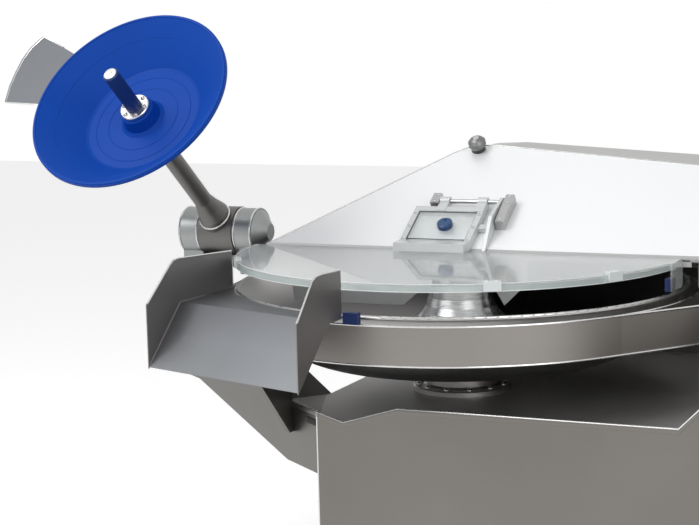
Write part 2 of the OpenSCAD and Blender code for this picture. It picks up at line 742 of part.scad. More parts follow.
module bearing_housing() color([0.74, 0.74, 0.74]) {
    difference() {
        union() {
            along_x(bearing_x0 + housing_in, drive_x0, housing_r, knife_y, knife_z);
            along_x(drive_x0 - housing_flange_t, drive_x0, housing_flange_r, knife_y, knife_z);
        }
        along_x(bearing_x0, drive_x0 + over, journal_r + housing_relief, knife_y, knife_z);
        for (x = roller_xs) along_x(x, x + roller_w, journal_r + roller_t, knife_y, knife_z);
    }
}
groove_n = 3;
groove_w = 12;
groove_d = 10;
belt_gap = 0.6;
groove_pitch = 22;
groove_in = 12;
module grooved(r, y, z) {
    difference() {
        along_x(pulley_x, pulley_x + pulley_w, r, y, z);
        for (i = [0 : groove_n - 1]) difference() {
            along_x(pulley_x + groove_in + i * groove_pitch, pulley_x + groove_in + i * groove_pitch + groove_w,
                r + over, y, z);
            along_x(pulley_x, pulley_x + pulley_w, r - groove_d, y, z);
        }
    }
}
module knife_pulley() color([0.35, 0.35, 0.36]) {
    difference() {
        grooved(knife_pulley_r, knife_y, knife_z);
        along_x(pulley_x - over, pulley_x + pulley_w + over, journal_r, knife_y, knife_z);
    }
}
motor_shaft_r = 24;
motor_r = 150;
motor_len = 330;
motor_gap = 14;
motor_x1 = pulley_x - motor_gap;
motor_shaft_in = 60;
motor_shaft_end = 8;
fin_n = 8;
fin_pitch = 22;
fin_w = 8;
fin_h = 12;
fin_in = 30;
motor_foot_w = 80;
motor_foot_in = 36;
motor_foot_out = 8;
// Share of the motor's radius down to the top of its feet
motor_foot_share = 0.7;
module motor_pulley() color([0.35, 0.35, 0.36]) {
    grooved(motor_pulley_r, motor_y, motor_z);
    along_x(motor_x1 - motor_shaft_in, pulley_x + pulley_w + motor_shaft_end, motor_shaft_r, motor_y, motor_z);
}
module belt_loop(r1, r2) {
    w = groove_w - 2 * belt_gap;
    hull() {
        along_x(0, w, r1, knife_y, knife_z, $fn = 48);
        along_x(0, w, r2, motor_y, motor_z, $fn = 48);
    }
}
module drive_belts() color([0.1, 0.1, 0.1]) {
    in1 = knife_pulley_r - groove_d + belt_gap;
    in2 = motor_pulley_r - groove_d + belt_gap;
    for (i = [0 : groove_n - 1]) translate([pulley_x + groove_in + i * groove_pitch + belt_gap, 0, 0])
        difference() {
        belt_loop(in1 + groove_d, in2 + groove_d);
        translate([-over, 0, 0]) scale([2, 1, 1]) belt_loop(in1, in2);
    }
}
module main_motor() color([0.30, 0.40, 0.48]) {
    difference() {
        union() {
            along_x(motor_x1 - motor_len, motor_x1, motor_r, motor_y, motor_z);
            for (i = [0 : fin_n - 1]) along_x(motor_x1 - motor_len + fin_in + i * fin_pitch,
                motor_x1 - motor_len + fin_in + i * fin_pitch + fin_w, motor_r + fin_h, motor_y, motor_z);
            for (x = [motor_x1 - motor_len + motor_foot_in, drive_x0 + sheet_t + motor_foot_out])
                box_between([x, motor_y - motor_r, foot_h + sheet_t],
                    [x + motor_foot_w, motor_y + motor_r, motor_z - motor_r * motor_foot_share]);
        }
        along_x(motor_x1 - motor_shaft_in - over, motor_x1 + over, motor_shaft_r + run_fit, motor_y, motor_z);
    }
}

// Hood: a hollow shell under a sloping lid, its front open to the bowl but for a baffle
side_back_x = 130;
// Corners of the lid, as shares of its reach to the left and of its length up the slope
lid_corner_share = [[1, 0], [0.263, 0.918], [0.205, 0.975], [0.125, 1], [0.046, 0.996]];
// Share of the lid's length at which its right side ends
lid_right_share = 0.807;
lid_corner = concat([for (p = lid_corner_share) [-lid_left * p[0], lid_len * p[1]]],
    [[lid_right, lid_len * lid_right_share], [lid_right, 0]]);
ridge_gap = 95;
ridge_y = lid_len * cos(lid_a) - seam_y + ridge_gap;
ridge_left_up = 270;
ridge_mid_up = 273;
ridge_right_up = 232;
fall_up = 140;
fall_z = rim_h + fall_up;
// Shares of the lid's left reach at which the ridge starts and turns
ridge_x_share = [-0.10, 0.046];
ridge = [[lid_left * ridge_x_share[0], seam_z + ridge_left_up],
    [lid_left * ridge_x_share[1], seam_z + ridge_mid_up],
    [lid_right, seam_z + ridge_right_up]];
// The hood's corners are small cubes of this size, and the lid lies this far above the shell
corner_w = lid_t / 4;
lid_seat = 0.8;
shell_drop = lid_t + lid_seat;
// The inner body reaches this many sheets past the open front and bottom
open_n = 6;
module corner_at(p) { translate(p) cube([1, 1, 1] * corner_w, center = true); }
module hood_body(g) {
    past = g * open_n;
    hull() {
        for (p = lid_corner)
            corner_at(on_lid(p[0] + (p[0] < 0 ? g : -g), p[1] - (p[1] > 0 ? g : past), -shell_drop - g));
        for (p = ridge) corner_at([p[0] + (p[0] < lid_right ? g : -g), ridge_y - g, p[1] - g]);
        for (x = [-side_back_x + g, lid_right - g]) corner_at([x, hood_back - g, fall_z - g]);
        for (p = [[-lid_left + g, -seam_y - past], [lid_right - g, -seam_y - past],
            [lid_right - g, hood_back - g], [-side_back_x + g, hood_back - g]])
            corner_at([p[0], p[1], hood_low - past]);
    }
}
lid_flange = 28;
lid_flange_end = 90;
lid_flange_slope = 17;
slot_gap = 12;
slot_r = housing_r + slot_gap;
module hood_shell() color([0.66, 0.66, 0.65]) {
    difference() {
        hood_body(0);
        hood_body(hood_t);
        lid_frame() translate([0, 0, -lid_t - hood_t * 4]) linear_extrude(lid_t + hood_t * 5) polygon([
            [-lid_left + lid_flange_end, -lid_len], [-lid_left + lid_flange_end, lid_flange],
            lid_corner[1] + [lid_flange_slope, -lid_flange],
            [lid_right - lid_flange, lid_len * lid_right_share - lid_flange],
            [lid_right - lid_flange, -lid_len]]);
        along_x(lid_right - lid_flange, lid_right + over, slot_r, knife_y, knife_z);
        box_between([lid_right - lid_flange, knife_y - slot_r, hood_low - over],
            [lid_right + over, knife_y + slot_r, knife_z]);
    }
}
module hood_lid() color([0.93, 0.94, 0.95]) {
    lid_frame() translate([0, 0, -lid_t]) linear_extrude(lid_t) polygon(lid_corner);
}
// Baffle: the wall behind the clear cover, cut out round the hub, the knives and the bowl's trough
baffle_t = 5;
baffle_drop = 75;
baffle_in = 24;
baffle_x0 = -545;
baffle_x1 = -172;
baffle_slope = 12;
baffle_bar_h = 14;
baffle_top_gap = 4.8;
baffle_hub_gap = 14;
baffle_foot_gap = 8;
baffle_foot_drop = 38;
// Right part: places right of the hub's top, and depths and heights from the rim
baffle_right_drop = 8;
baffle_notch_x = 46;
baffle_notch_drop = 62;
baffle_end_x = 118;
baffle_end_up = 6;
module hood_baffle() color([0.72, 0.72, 0.71]) {
    y = -seam_y + lid_t;
    top = seam_z - lid_t - baffle_top_gap;
    left = -lid_left + baffle_in;
    near = hub_top_r + baffle_hub_gap;
    difference() {
        union() {
            plate_xz([[left, hood_low + over], [baffle_x0, hood_low + over],
                [baffle_x0 + baffle_slope, rim_h - baffle_drop],
                [baffle_x1 - baffle_foot_gap, rim_h - baffle_drop],
                [-hub_foot_r - baffle_foot_gap, rim_h - baffle_foot_drop],
                [-near, rim_h], [-near, top], [left, top]], y, baffle_t);
            plate_xz([[near, top], [near, rim_h - baffle_right_drop],
                [hub_top_r + baffle_notch_x, rim_h - baffle_notch_drop],
                [hub_top_r + baffle_end_x, rim_h + baffle_end_up], [hub_top_r + baffle_end_x, top]], y, baffle_t);
            box_between([left, y, top - baffle_bar_h], [lid_right - baffle_in, y + baffle_t, top]);
        }
        hood_shell();
    }
}

// Blocks on the lid hold the rod about which the clear cover turns
rod_x0 = -117;
rod_x1 = 84;
block_w = 26;
block_l = 44;
right_block_l = 126;
rod_cap = 6;
block_h = rod_up + rod_r + rod_cap;
module rod_blocks() color([0.70, 0.71, 0.72]) {
    s1 = rod_s + block_l / 2;
    difference() {
        lid_frame() {
            box_between([rod_x0 - block_w, rod_s - block_l / 2, 0], [rod_x0, s1, block_h]);
            box_between([rod_x1, s1 - right_block_l, 0], [rod_x1 + block_w, s1, block_h]);
        }
        lid_frame() along_x(rod_x0 - block_w / 2, rod_x1 + block_w / 2, rod_r, rod_s, rod_up);
    }
}
module hinge_rod() color([0.75, 0.75, 0.76]) {
    lid_frame() along_x(rod_x0 - block_w / 2, rod_x1 + block_w / 2, rod_r, rod_s, rod_up);
}
// Share of the lid's left reach at which the corner knob stands
knob_place_share = 0.142;
knob_inset = 26;
knob_x = -lid_left * knob_place_share;
knob_s = lid_len - knob_inset;
knob_base_r = 22;
knob_base_h = 12;
knob_r = 27;
knob_h = 34;
// Rings of the knob from its foot up, as shares of its height and of its radius
knob_share = [[0, 0.85], [0.25, 1], [0.6, 1], [0.85, 0.72], [1, 0.35]];
module knob_base() color([0.08, 0.08, 0.08]) {
    lid_frame() translate([knob_x, knob_s, 0]) cylinder(h = knob_base_h, r = knob_base_r);
}
module corner_knob() color([0.80, 0.80, 0.81]) {
    lid_frame() translate([knob_x, knob_s, knob_base_h]) rotate_extrude() polygon(concat(
        [[0, 0]], [for (p = knob_share) [knob_r * p[1], knob_h * p[0]]], [[0, knob_h]]));
}
// The hood's two arms turn on a pin behind it, in bearings on the rear housing
arm_xs = [60, 520];
hinge_arm_w = 40;
hinge_eye_r = 30;
arm_foot_up = 30;
arm_top_in = 8;
arm_foot_run = 20;
hinge_arm_y = hood_back + corner_w / 2;
module hood_hinge_arms() color([0.62, 0.62, 0.62]) {
    for (x = arm_xs) difference() {
        union() {
            plate_yz([[hinge_arm_y, hood_low + arm_foot_up], [hinge_arm_y, fall_z - arm_top_in],
                [hinge_y, hinge_z + hinge_eye_r], [hinge_y, hinge_z - hinge_eye_r],
                [hinge_arm_y + arm_foot_run, hood_low + arm_foot_up]], x, hinge_arm_w);
            along_x(x, x + hinge_arm_w, hinge_eye_r, hinge_y, hinge_z);
        }
        along_x(x - over, x + hinge_arm_w + over, hinge_pin_r + run_fit, hinge_y, hinge_z);
    }
}
hinge_cheek_w = 22;
module hood_hinge_bearings() color([0.60, 0.60, 0.60]) {
    side = hinge_cheek_w + clear;
    for (x = arm_xs) for (x0 = [x - side, x + hinge_arm_w + clear]) {
        box_between([x0, hinge_y - hinge_eye_r, rear_z], [x0 + hinge_cheek_w, hinge_y + hinge_eye_r, hinge_z]);
        along_x(x0, x0 + hinge_cheek_w, hinge_eye_r, hinge_y, hinge_z);
    }
    along_x(arm_xs[0] - side, arm_xs[1] + hinge_arm_w + side, hinge_pin_r, hinge_y, hinge_z);
}

// Clear cover: half a disc that lies in front of the lid's edge, with end flanges and clips
cover_z = seam_z - lid_t;
cover_gap = 1.5;
cover_back = seam_y + cover_gap;
flange_depth = 110;
flange_drop = 70;
cover_flange_t = 5;
module clear_cover() color([0.80, 0.88, 0.88, 0.5]) {
    translate([0, 0, cover_z]) difference() {
        union() {
            cylinder(h = cover_t, r = cover_r, $fn = 180);
            box_between([-cover_r - cover_flange_t, -flange_depth - cover_back, 0],
                [cover_r + cover_flange_t, -cover_back, cover_t]);
        }
        box_between([-cover_r * 2, -cover_back, -over], [cover_r * 2, cover_r * 2, cover_t + over]);
    }
}
module cover_flanges() color([0.75, 0.82, 0.83, 0.6]) {
    for (s = [-1, 1]) scale([s, 1, 1])
        box_between([cover_r, -flange_depth - cover_back, cover_z - flange_drop],
            [cover_r + cover_flange_t, -cover_back, cover_z]);
}
// Places of the clips round the half disc's edge, as shares of the half circle
clip_share = [0.172, 0.344, 0.822];
clip_w = 46;
clip_d = 16;
clip_wall = 6;
clip_drop = 14;
module cover_clips() color([0.92, 0.94, 0.94]) {
    for (p = clip_share) rotate([0, 0, -180 * p]) difference() {
        box_between([cover_r - clip_d, -clip_w / 2, cover_z - clip_drop],
            [cover_r + clip_wall, clip_w / 2, cover_z + cover_t + clip_wall]);
        translate([0, 0, cover_z]) cylinder(h = cover_t, r = cover_r);
    }
}
cover_pad_h = 34;
cover_pad_l = 42;
cover_pad_t = 16;
module cover_pads() color([0.0, 0.30, 0.75]) {
    front = -flange_depth - cover_back;
    for (s = [-1, 1]) scale([s, 1, 1]) box_between([cover_r - cover_pad_t, front, cover_z - flange_drop],
        [cover_r, front + cover_pad_l, cover_z - flange_drop + cover_pad_h]);
}

// Hinge frame: rails that lie on the lid, joined to a front block on the clear sheet
frame_x0 = -185;
frame_x1 = 32;
frame_up = 24;
rail_w = 17;
frame_gap = 1.5;
bar_gap = 8;
bar_w = 22;
bar_s1 = rod_s - block_l / 2 - bar_gap;
bar_s0 = bar_s1 - bar_w;
cheek_x1 = 80;
cheek_t = 10;
cheek_foot_h = 3;
cheek_belly = 26;
cheek_back_up = 4;
// Shares of the rod's distance up the lid: cheek's belly, its back corner, and the tie's two edges
cheek_share = [0.5, 0.9];
tie_share = [0.42, 0.52];
tie_h = 14;
rod_eye_t = 7;
rod_eye_r = rod_r + rod_eye_t;
rod_eye_w = 30;
rod_arm_up = 2;
rod_arm_h = rod_up + rod_cap;
// Front block: its outline runs from its foot on the sheet over the seam to the lid
front_reach = 48;
front_back = 14;
front_foot = 4;
front_rise = 3;
module hatch_frame() color([0.72, 0.73, 0.74]) {
    foot_z = cover_z + cover_t;
    difference() {
        union() {
            lid_frame() {
                for (x = [frame_x0, frame_x1 - rail_w])
                    box_between([x, 0, frame_gap], [x + rail_w, bar_s1, frame_up]);
                plate_yz([[0, frame_gap], [0, frame_gap + cheek_foot_h],
                    [rod_s * cheek_share[0], frame_up + cheek_belly], [rod_s, rod_up + rod_eye_r],
                    [rod_s, frame_gap + cheek_back_up], [rod_s * cheek_share[1], frame_gap]],
                    cheek_x1 - cheek_t, cheek_t);
                box_between([frame_x1, rod_s * tie_share[0], frame_gap],
                    [cheek_x1, rod_s * tie_share[1], frame_gap + tie_h]);
                box_between([frame_x0, bar_s0, frame_gap], [frame_x1, bar_s1, frame_up]);
                for (x = [rod_x0 + clear, frame_x1 - rod_eye_w]) {
                    box_between([x, bar_s0, frame_gap + rod_arm_up], [x + rod_eye_w - clear, rod_s, rod_arm_h]);
                    along_x(x, x + rod_eye_w - clear, rod_eye_r, rod_s, rod_up);
                }
                along_x(cheek_x1 - cheek_t, cheek_x1, rod_eye_r, rod_s, rod_up);
            }
            plate_yz([[-seam_y - front_reach, foot_z], [-seam_y - front_reach, foot_z + frame_up],
                [-seam_y, foot_z + frame_up + front_rise], [-seam_y + front_back, seam_z + frame_up],
                [-seam_y + front_back, seam_z + front_back], [-seam_y - front_foot, foot_z]],
                frame_x0, frame_x1 - frame_x0);
        }
        lid_frame() along_x(rod_x0 - over, rod_x1 + over, rod_r + run_fit, rod_s, rod_up);
    }
}
pane_t = 5;
pane_sunk = 8;
pane_up = frame_up - pane_sunk;
turn_x = -65;
turn_s = 86;
turn_r = 23;
turn_h = 17;
turn_stem_r = 8;
turn_dot_in = 10;
turn_dot_r = 4;
turn_dot_h = 2.5;
// Rings of the blue knob from its foot up, as shares of its height and of its radius
turn_share = [[0, 1], [0.8, 1], [1, 0.8]];
module hatch_window() color([0.85, 0.85, 0.80, 0.6]) {
    lid_frame() difference() {
        box_between([frame_x0 + rail_w, frame_up, pane_up], [frame_x1 - rail_w, bar_s0, pane_up + pane_t]);
        translate([turn_x, turn_s, pane_up - over]) cylinder(h = pane_t + 2 * over, r = turn_stem_r + run_fit);
    }
}
module blue_knob() color([0.02, 0.30, 0.65]) {
    lid_frame() translate([turn_x, turn_s, pane_up + pane_t + clear]) {
        rotate_extrude() polygon(concat(
            [[0, 0]], [for (p = turn_share) [turn_r * p[1], turn_h * p[0]]], [[0, turn_h]]));
        translate([0, 0, -pane_t - clear]) cylinder(h = pane_t + clear, r = turn_stem_r);
        translate([0, turn_dot_in, turn_h]) cylinder(h = turn_dot_h, r = turn_dot_r);
    }
}

// Unloader: a post that swivels in its socket, a yoke with two drums, and the arm between them
saddle_gap = 24;
yoke_z = pivot_z - drum_r - saddle_gap;
yoke_t = 14;
yoke_w = 80;
yoke_flange = 12;
tube_x = -post_x + tube_shift;
left_drum_w = 70;
right_drum_w = 66;
yoke_x0 = tube_x - hub_half - left_drum_w;
yoke_x1 = tube_x + hub_half + right_drum_w;
cone_w = 34;
// Shares of the drum's radius at the cone's foot and tip
cone_share = [0.94, 0.35];
pivot_bore = 25;
pivot_wall = 8;
module unloader_post() color([0.52, 0.50, 0.48]) {
    low = rim_h - arm_drop + flange_t + clear;
    translate([-post_x, post_y, low]) cylinder(h = yoke_z - low, r = post_r);
}
module pivot_yoke() color([0.72, 0.72, 0.72]) {
    y0 = post_y - yoke_w / 2;
    y1 = post_y + yoke_w / 2;
    difference() {
        union() {
            translate([-post_x, post_y, yoke_z]) cylinder(h = yoke_t, r = post_r + yoke_flange);
            box_between([yoke_x0, y0, yoke_z], [yoke_x1, y1, yoke_z + yoke_t]);
            for (s = [[yoke_x0, tube_x - hub_half - clear], [tube_x + hub_half + clear, yoke_x1]]) {
                along_x(s[0], s[1], drum_r, post_y, pivot_z);
                box_between([s[0], y0, yoke_z], [s[1], y1, pivot_z]);
            }
            translate([yoke_x1, post_y, pivot_z]) rotate([0, 90, 0])
                cylinder(h = cone_w, r1 = drum_r * cone_share[0], r2 = drum_r * cone_share[1]);
        }
        along_x(yoke_x0 + pivot_wall, yoke_x1 - pivot_wall, pivot_bore, post_y, pivot_z);
    }
}
module pivot_shaft() color([0.70, 0.70, 0.72]) {
    along_x(yoke_x0 + pivot_wall, yoke_x1 - pivot_wall, pivot_bore, post_y, pivot_z);
}
// The tube's own line: from the hub it runs forward and up
module tube_frame() {
    translate([tube_x, post_y, pivot_z])
        rotate([0, 0, -tube_turn_a]) rotate([90 - tube_rise_a, 0, 0]) children();
}
arm_hub_r = 76;
// Foot of the tube: shares of its length beyond the hub and of its width beyond the tube
flare_len = 89;
flare_w = 20;
flare_share = [[0, 1], [0.11, 1], [0.2, 0.95], [0.38, 0.7], [0.6, 0.4], [0.85, 0.15], [1, 0]];
plate_gap = 34;
plate_reach = dish_reach - dish_depth - dish_t - plate_gap;
plate_t = 4;
collar_w = 14;
collar_up = 8;
collar_end = plate_reach + collar_up + collar_w;
bush_r = 15;
motor_gap_up = 26;
motor_up = arm_hub_r + motor_gap_up;
module arm_tube() color([0.72, 0.72, 0.72]) {
    difference() {
        union() {
            along_x(tube_x - hub_half, tube_x + hub_half, arm_hub_r, post_y, pivot_z);
            tube_frame() {
                cylinder(h = plate_reach + collar_up, r = tube_r);
                rotate_extrude() polygon(concat([[0, 0], [tube_r + flare_w, 0]],
                    [for (p = flare_share) [tube_r + flare_w * p[1], arm_hub_r + flare_len * p[0]]],
                    [[0, arm_hub_r + flare_len]]));
                translate([0, 0, plate_reach + collar_up]) cylinder(h = collar_w, r = tube_r + collar_w);
            }
        }
        along_x(tube_x - hub_half - over, tube_x + hub_half + over, pivot_bore + run_fit, post_y, pivot_z);
        tube_frame() translate([0, 0, motor_up]) {
            cylinder(h = dish_reach, r = bush_r + run_fit);
            cylinder(h = disc_motor_len, r = disc_motor_r);
        }
    }
}
// A tubular gear motor inside the arm tube turns the disc's shaft
disc_motor_r = 22;
disc_motor_len = 220;
module disc_motor() color([0.35, 0.35, 0.36]) {
    tube_frame() translate([0, 0, motor_up]) cylinder(h = disc_motor_len, r = disc_motor_r);
}
// Scraper: a plate behind the disc that reaches out past its rim on the left. Its outline is
// in shares of the disc's radius, left and up
scraper_share = [[1.47, 1.02], [1.77, 1.16], [1.86, 1.02], [1.90, 0.87], [1.91, 0.70], [1.905, 0.52],
    [1.87, 0.32], [1.40, 0.29]];
module scraper_plate() color([0.62, 0.62, 0.62]) {
    near = tube_r * 2;
    tube_frame() translate([0, 0, plate_reach - plate_t]) difference() {
        linear_extrude(plate_t) polygon(concat([[near, near]],
            [for (p = scraper_share) [-dish_r * p[0], dish_r * p[1]]], [[-near, -near], [near, -near]]));
        translate([0, 0, -over]) cylinder(h = plate_t + 2 * over, r = tube_r);
    }
}
dish_hub_r = 58;
hub_ring_r = 43;
pin_r = 23;
pin_len = 150;
pin_edge = 4;
ring_h = 12;
dish_z = dish_reach - dish_depth;
dish_base = dish_z - dish_t;
boss_h = 46;
boss_z = dish_z + boss_h;
dish_lip = 9;
dish_round = 4;
dish_boss_foot = 10;
dish_boss_step = 8;
module dish_shaft() color([0.80, 0.80, 0.82]) {
    tube_frame() {
        translate([0, 0, motor_up + disc_motor_len + clear])
            cylinder(h = dish_base - motor_up - disc_motor_len - clear, r = bush_r);
        translate([0, 0, collar_end + clear])
            cylinder(h = dish_base - collar_end - clear, r = tube_r + dish_boss_foot);
        translate([0, 0, dish_base]) cylinder(h = dish_t + boss_h, r = pin_r);
        translate([0, 0, boss_z]) cylinder(h = ring_h, r = hub_ring_r);
        translate([0, 0, boss_z + ring_h]) cylinder(h = pin_len - pin_edge, r = pin_r);
        translate([0, 0, boss_z + ring_h + pin_len - pin_edge])
            cylinder(h = pin_edge, r1 = pin_r, r2 = pin_r - pin_edge);
    }
}
module unloader_dish() color([0.0, 0.31, 0.70]) {
    tube_frame() rotate_extrude($fn = 144) polygon([[pin_r, dish_base], [dish_floor_r + dish_round, dish_base],
        [dish_r - dish_round, dish_reach - dish_lip], [dish_r, dish_reach - dish_lip], [dish_r, dish_reach],
        [dish_r - dish_t, dish_reach], [dish_floor_r + dish_round, dish_z + dish_round],
        [dish_floor_r - dish_round, dish_z], [dish_hub_r + dish_boss_foot, dish_z],
        [dish_hub_r, dish_z + dish_boss_step], [dish_hub_r - dish_boss_step, boss_z - dish_round],
        [dish_hub_r - dish_boss_step - dish_round, boss_z], [pin_r, boss_z]]);
}

// Console on the drive housing's front top, with its buttons
panel_inset = 40;
panel_side_in = 30;
panel_x0 = drive_x0 + slope_rise + panel_inset;
panel_x1 = drive_x1 - panel_side_in;
panel_y0 = -front_d + panel_inset;
panel_y1 = console_y1 - panel_inset;
panel_h = 10;
button_r = 15;
button_lap = 1;
button_up = 8;
travel = 4;
button_y = (panel_y0 + panel_y1) / 2;
button_n = 4;
button_x = [for (i = [0 : button_n - 1]) panel_x0 + (panel_x1 - panel_x0) * (i + 0.5) / button_n];
button_z = console_z + panel_h;
bore_d = 8;
mushroom_r = 22.5;
switch_h = 10;
switch_w = 9;
module control_panel() color([0.80, 0.80, 0.80]) {
    difference() {
        box_between([panel_x0, panel_y0, console_z], [panel_x1, panel_y1, button_z]);
        for (x = button_x) translate([x, button_y, button_z - bore_d])
            cylinder(h = bore_d + over, r = button_r + clear);
    }
}
module button(x, r, h) {
    up = travel + clear;
    translate([x, button_y, button_z - bore_d + up]) cylinder(h = bore_d - travel + h, r = button_r);
    translate([x, button_y, button_z + up]) cylinder(h = h, r = r);
}
module start_button() color([0.1, 0.6, 0.2]) { button(button_x[0], button_r + button_lap, button_up); }
module stop_button() color([0.75, 0.1, 0.1]) { button(button_x[1], button_r + button_lap, button_up); }
module emergency_stop() color([0.85, 0.05, 0.05]) { button(button_x[3], mushroom_r, button_up * 2); }
module selector_switch() color([0.1, 0.1, 0.1]) {
    x = button_x[2];
    translate([x, button_y, button_z - bore_d + clear]) cylinder(h = bore_d + switch_h, r = button_r);
    box_between([x - switch_w / 2, button_y - button_r, button_z + switch_h],
        [x + switch_w / 2, button_y + button_r, button_z + switch_h * 2]);
}

in_frame() base_housing();
in_frame() front_panel();
in_frame() deck_plate();
in_frame() support_arm();
in_frame() rear_housing();
in_frame() drive_housing();
in_frame() levelling_feet();
in_frame() service_door();
in_frame() door_hinge();
in_frame() door_latch();
in_frame() chute_slide();
in_frame() chute_left_wall();
in_frame() chute_right_wall();
in_frame() chute_pads();
in_frame() chute_bracket();
in_frame() bowl_guard();
in_frame() guard_brackets();
in_frame() bowl_pedestal();
in_frame() shaft_bearings();
in_frame() bowl_gearmotor();
in_frame() bowl_shaft();
in_frame() bowl();
in_frame() hub_cone();
in_frame() knife_shaft();
in_frame() bearing_housing();
in_frame() knife_pulley();
in_frame() motor_pulley();
in_frame() drive_belts();
in_frame() main_motor();
in_frame() cutting_knives();
in_frame() clamp_nut();
in_frame() hood_shell();
in_frame() hood_lid();
in_frame() hood_baffle();
in_frame() rod_blocks();
in_frame() hinge_rod();
in_frame() corner_knob();
in_frame() knob_base();
in_frame() hood_hinge_arms();
in_frame() hood_hinge_bearings();
in_frame() clear_cover();
in_frame() cover_flanges();
in_frame() cover_clips();
in_frame() cover_pads();
in_frame() hatch_frame();
in_frame() hatch_window();
in_frame() blue_knob();
in_frame() unloader_post();
in_frame() pivot_yoke();
in_frame() pivot_shaft();
in_frame() arm_tube();
in_frame() disc_motor();
in_frame() scraper_plate();
in_frame() dish_shaft();
in_frame() unloader_dish();
in_frame() control_panel();
in_frame() start_button();
in_frame() stop_button();
in_frame() emergency_stop();
in_frame() selector_switch();
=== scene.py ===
import math
import bpy
import bmesh
from mathutils import Matrix, Vector


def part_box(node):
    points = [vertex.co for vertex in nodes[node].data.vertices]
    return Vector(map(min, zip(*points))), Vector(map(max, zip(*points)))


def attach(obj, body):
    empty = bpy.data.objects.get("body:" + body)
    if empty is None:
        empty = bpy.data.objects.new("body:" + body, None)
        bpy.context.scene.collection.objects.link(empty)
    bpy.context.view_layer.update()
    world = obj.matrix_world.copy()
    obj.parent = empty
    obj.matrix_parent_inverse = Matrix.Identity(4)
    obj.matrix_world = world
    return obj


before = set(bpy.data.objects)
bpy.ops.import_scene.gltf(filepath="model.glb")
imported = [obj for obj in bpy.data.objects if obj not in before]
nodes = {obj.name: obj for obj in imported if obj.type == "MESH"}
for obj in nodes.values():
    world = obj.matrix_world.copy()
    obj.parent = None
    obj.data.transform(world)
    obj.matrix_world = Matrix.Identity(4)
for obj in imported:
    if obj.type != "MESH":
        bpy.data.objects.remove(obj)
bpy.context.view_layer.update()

# The bowl's axis, from which every place on the machine is measured, with the rim's height
bowl_low, bowl_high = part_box("bowl")
axis = Vector(((bowl_low.x + bowl_high.x) / 2, (bowl_low.y + bowl_high.y) / 2, 0))
rim = 1.0


# Camera: a long lens, a little above the rim and to the right of the machine's front. Its focal
# length is in pixels of the picture's width
picture_w = 699
focal_px = 1846.7
sensor_mm = 36.0
camera_from_rim = Vector((1.8990, -4.9250, 0.8))
look = Vector((-0.41159, 0.90081, -0.13824))
right = Vector((0.90955, 0.41559, 0.0))
up = right.cross(look)
roll = math.radians(-1.461)
across = right * math.cos(roll) + up * math.sin(roll)
upward = up * math.cos(roll) - right * math.sin(roll)
view = bpy.data.cameras.new("view")
view.sensor_width = sensor_mm
view.lens = focal_px / picture_w * sensor_mm
view.clip_end = 60
camera = bpy.data.objects.new("view", view)
bpy.context.scene.collection.objects.link(camera)
place = Matrix((across, upward, -look)).transposed().to_4x4()
place.translation = axis + Vector((0, 0, rim)) + camera_from_rim
camera.matrix_world = place
bpy.context.scene.camera = camera


# Base: a box of welded and brushed stainless sheet. The front panel has a folded hem along its top,
# and its corner is closed with a ground weld bead. The helpers it needs come first
class Wire:
    """A shader socket: a sum or product of two of these adds its Math node."""

    def __init__(self, tree, socket):
        self.tree = tree
        self.socket = socket

    def math(self, operation, first, second):
        node = self.tree.nodes.new("ShaderNodeMath")
        node.operation = operation
        for slot, value in zip(node.inputs, (first, second)):
            if isinstance(value, Wire):
                self.tree.links.new(value.socket, slot)
            else:
                slot.default_value = value
        return Wire(self.tree, node.outputs[0])

    def __add__(self, other):
        return self.math("ADD", self, other)

    __radd__ = __add__

    def __sub__(self, other):
        return self.math("SUBTRACT", self, other)

    def __rsub__(self, other):
        return self.math("SUBTRACT", other, self)

    def __mul__(self, other):
        return self.math("MULTIPLY", self, other)

    __rmul__ = __mul__

    def clamped(self):
        return self.math("MAXIMUM", self.math("MINIMUM", self, 1.0), 0.0)


class Finish:
    """One material, with a method that adds a node to it."""

    slot = None

    def __init__(self, name):
        self.material = bpy.data.materials.new(name)
        self.material.use_nodes = True
        self.tree = self.material.node_tree
        self.shader = self.tree.nodes["Principled BSDF"]

    def node(self, kind, settings=None, sockets=None, out=0):
        node = self.tree.nodes.new(kind)
        for key, value in (settings or {}).items():
            setattr(node, key, value)
        for key, value in (sockets or {}).items():
            if isinstance(value, Wire):
                self.tree.links.new(value.socket, node.inputs[key])
            else:
                node.inputs[key].default_value = value
        return Wire(self.tree, node.outputs[out])

    def set(self, **values):
        for key, value in values.items():
            slot = self.shader.inputs[key.replace("_", " ")]
            if isinstance(value, Wire):
                self.tree.links.new(value.socket, slot)
            else:
                slot.default_value = value
        return self

    def place(self, scale=(1, 1, 1)):
        here = self.node("ShaderNodeTexCoord", out="Object")
        return self.node("ShaderNodeMapping", {}, {"Vector": here, "Scale": scale})

    def noise(self, where, scale, detail=2.0, roughness=0.5):
        return self.node("ShaderNodeTexNoise", {},
                         {"Vector": where, "Scale": scale, "Detail": detail, "Roughness": roughness})

    def mix(self, factor, first, second):
        return self.node("ShaderNodeMix", {"data_type": "RGBA"}, {0: factor, 6: first, 7: second}, out=2)

    def bump(self, height, strength, distance):
        return self.node("ShaderNodeBump", {}, {"Height": height, "Strength": strength, "Distance": distance})

    def along(self, direction, start, end):
        """How far a point lies from start (0) to end (1) along an axis, in metres of the machine's frame."""
        axes = self.node("ShaderNodeSeparateXYZ", {}, {"Vector": self.place()}, out="XYZ".index(direction))
        return ((axes - start) * (1.0 / (end - start))).clamped()


def shades(colour, down, rise):
    return (*[c * down for c in colour], 1), (*[min(1.0, c * rise) for c in colour], 1)


def wear(finish, *names):
    for name in names:
        mesh = nodes[name].data
        mesh.materials.clear()
        mesh.materials.append(finish.material)


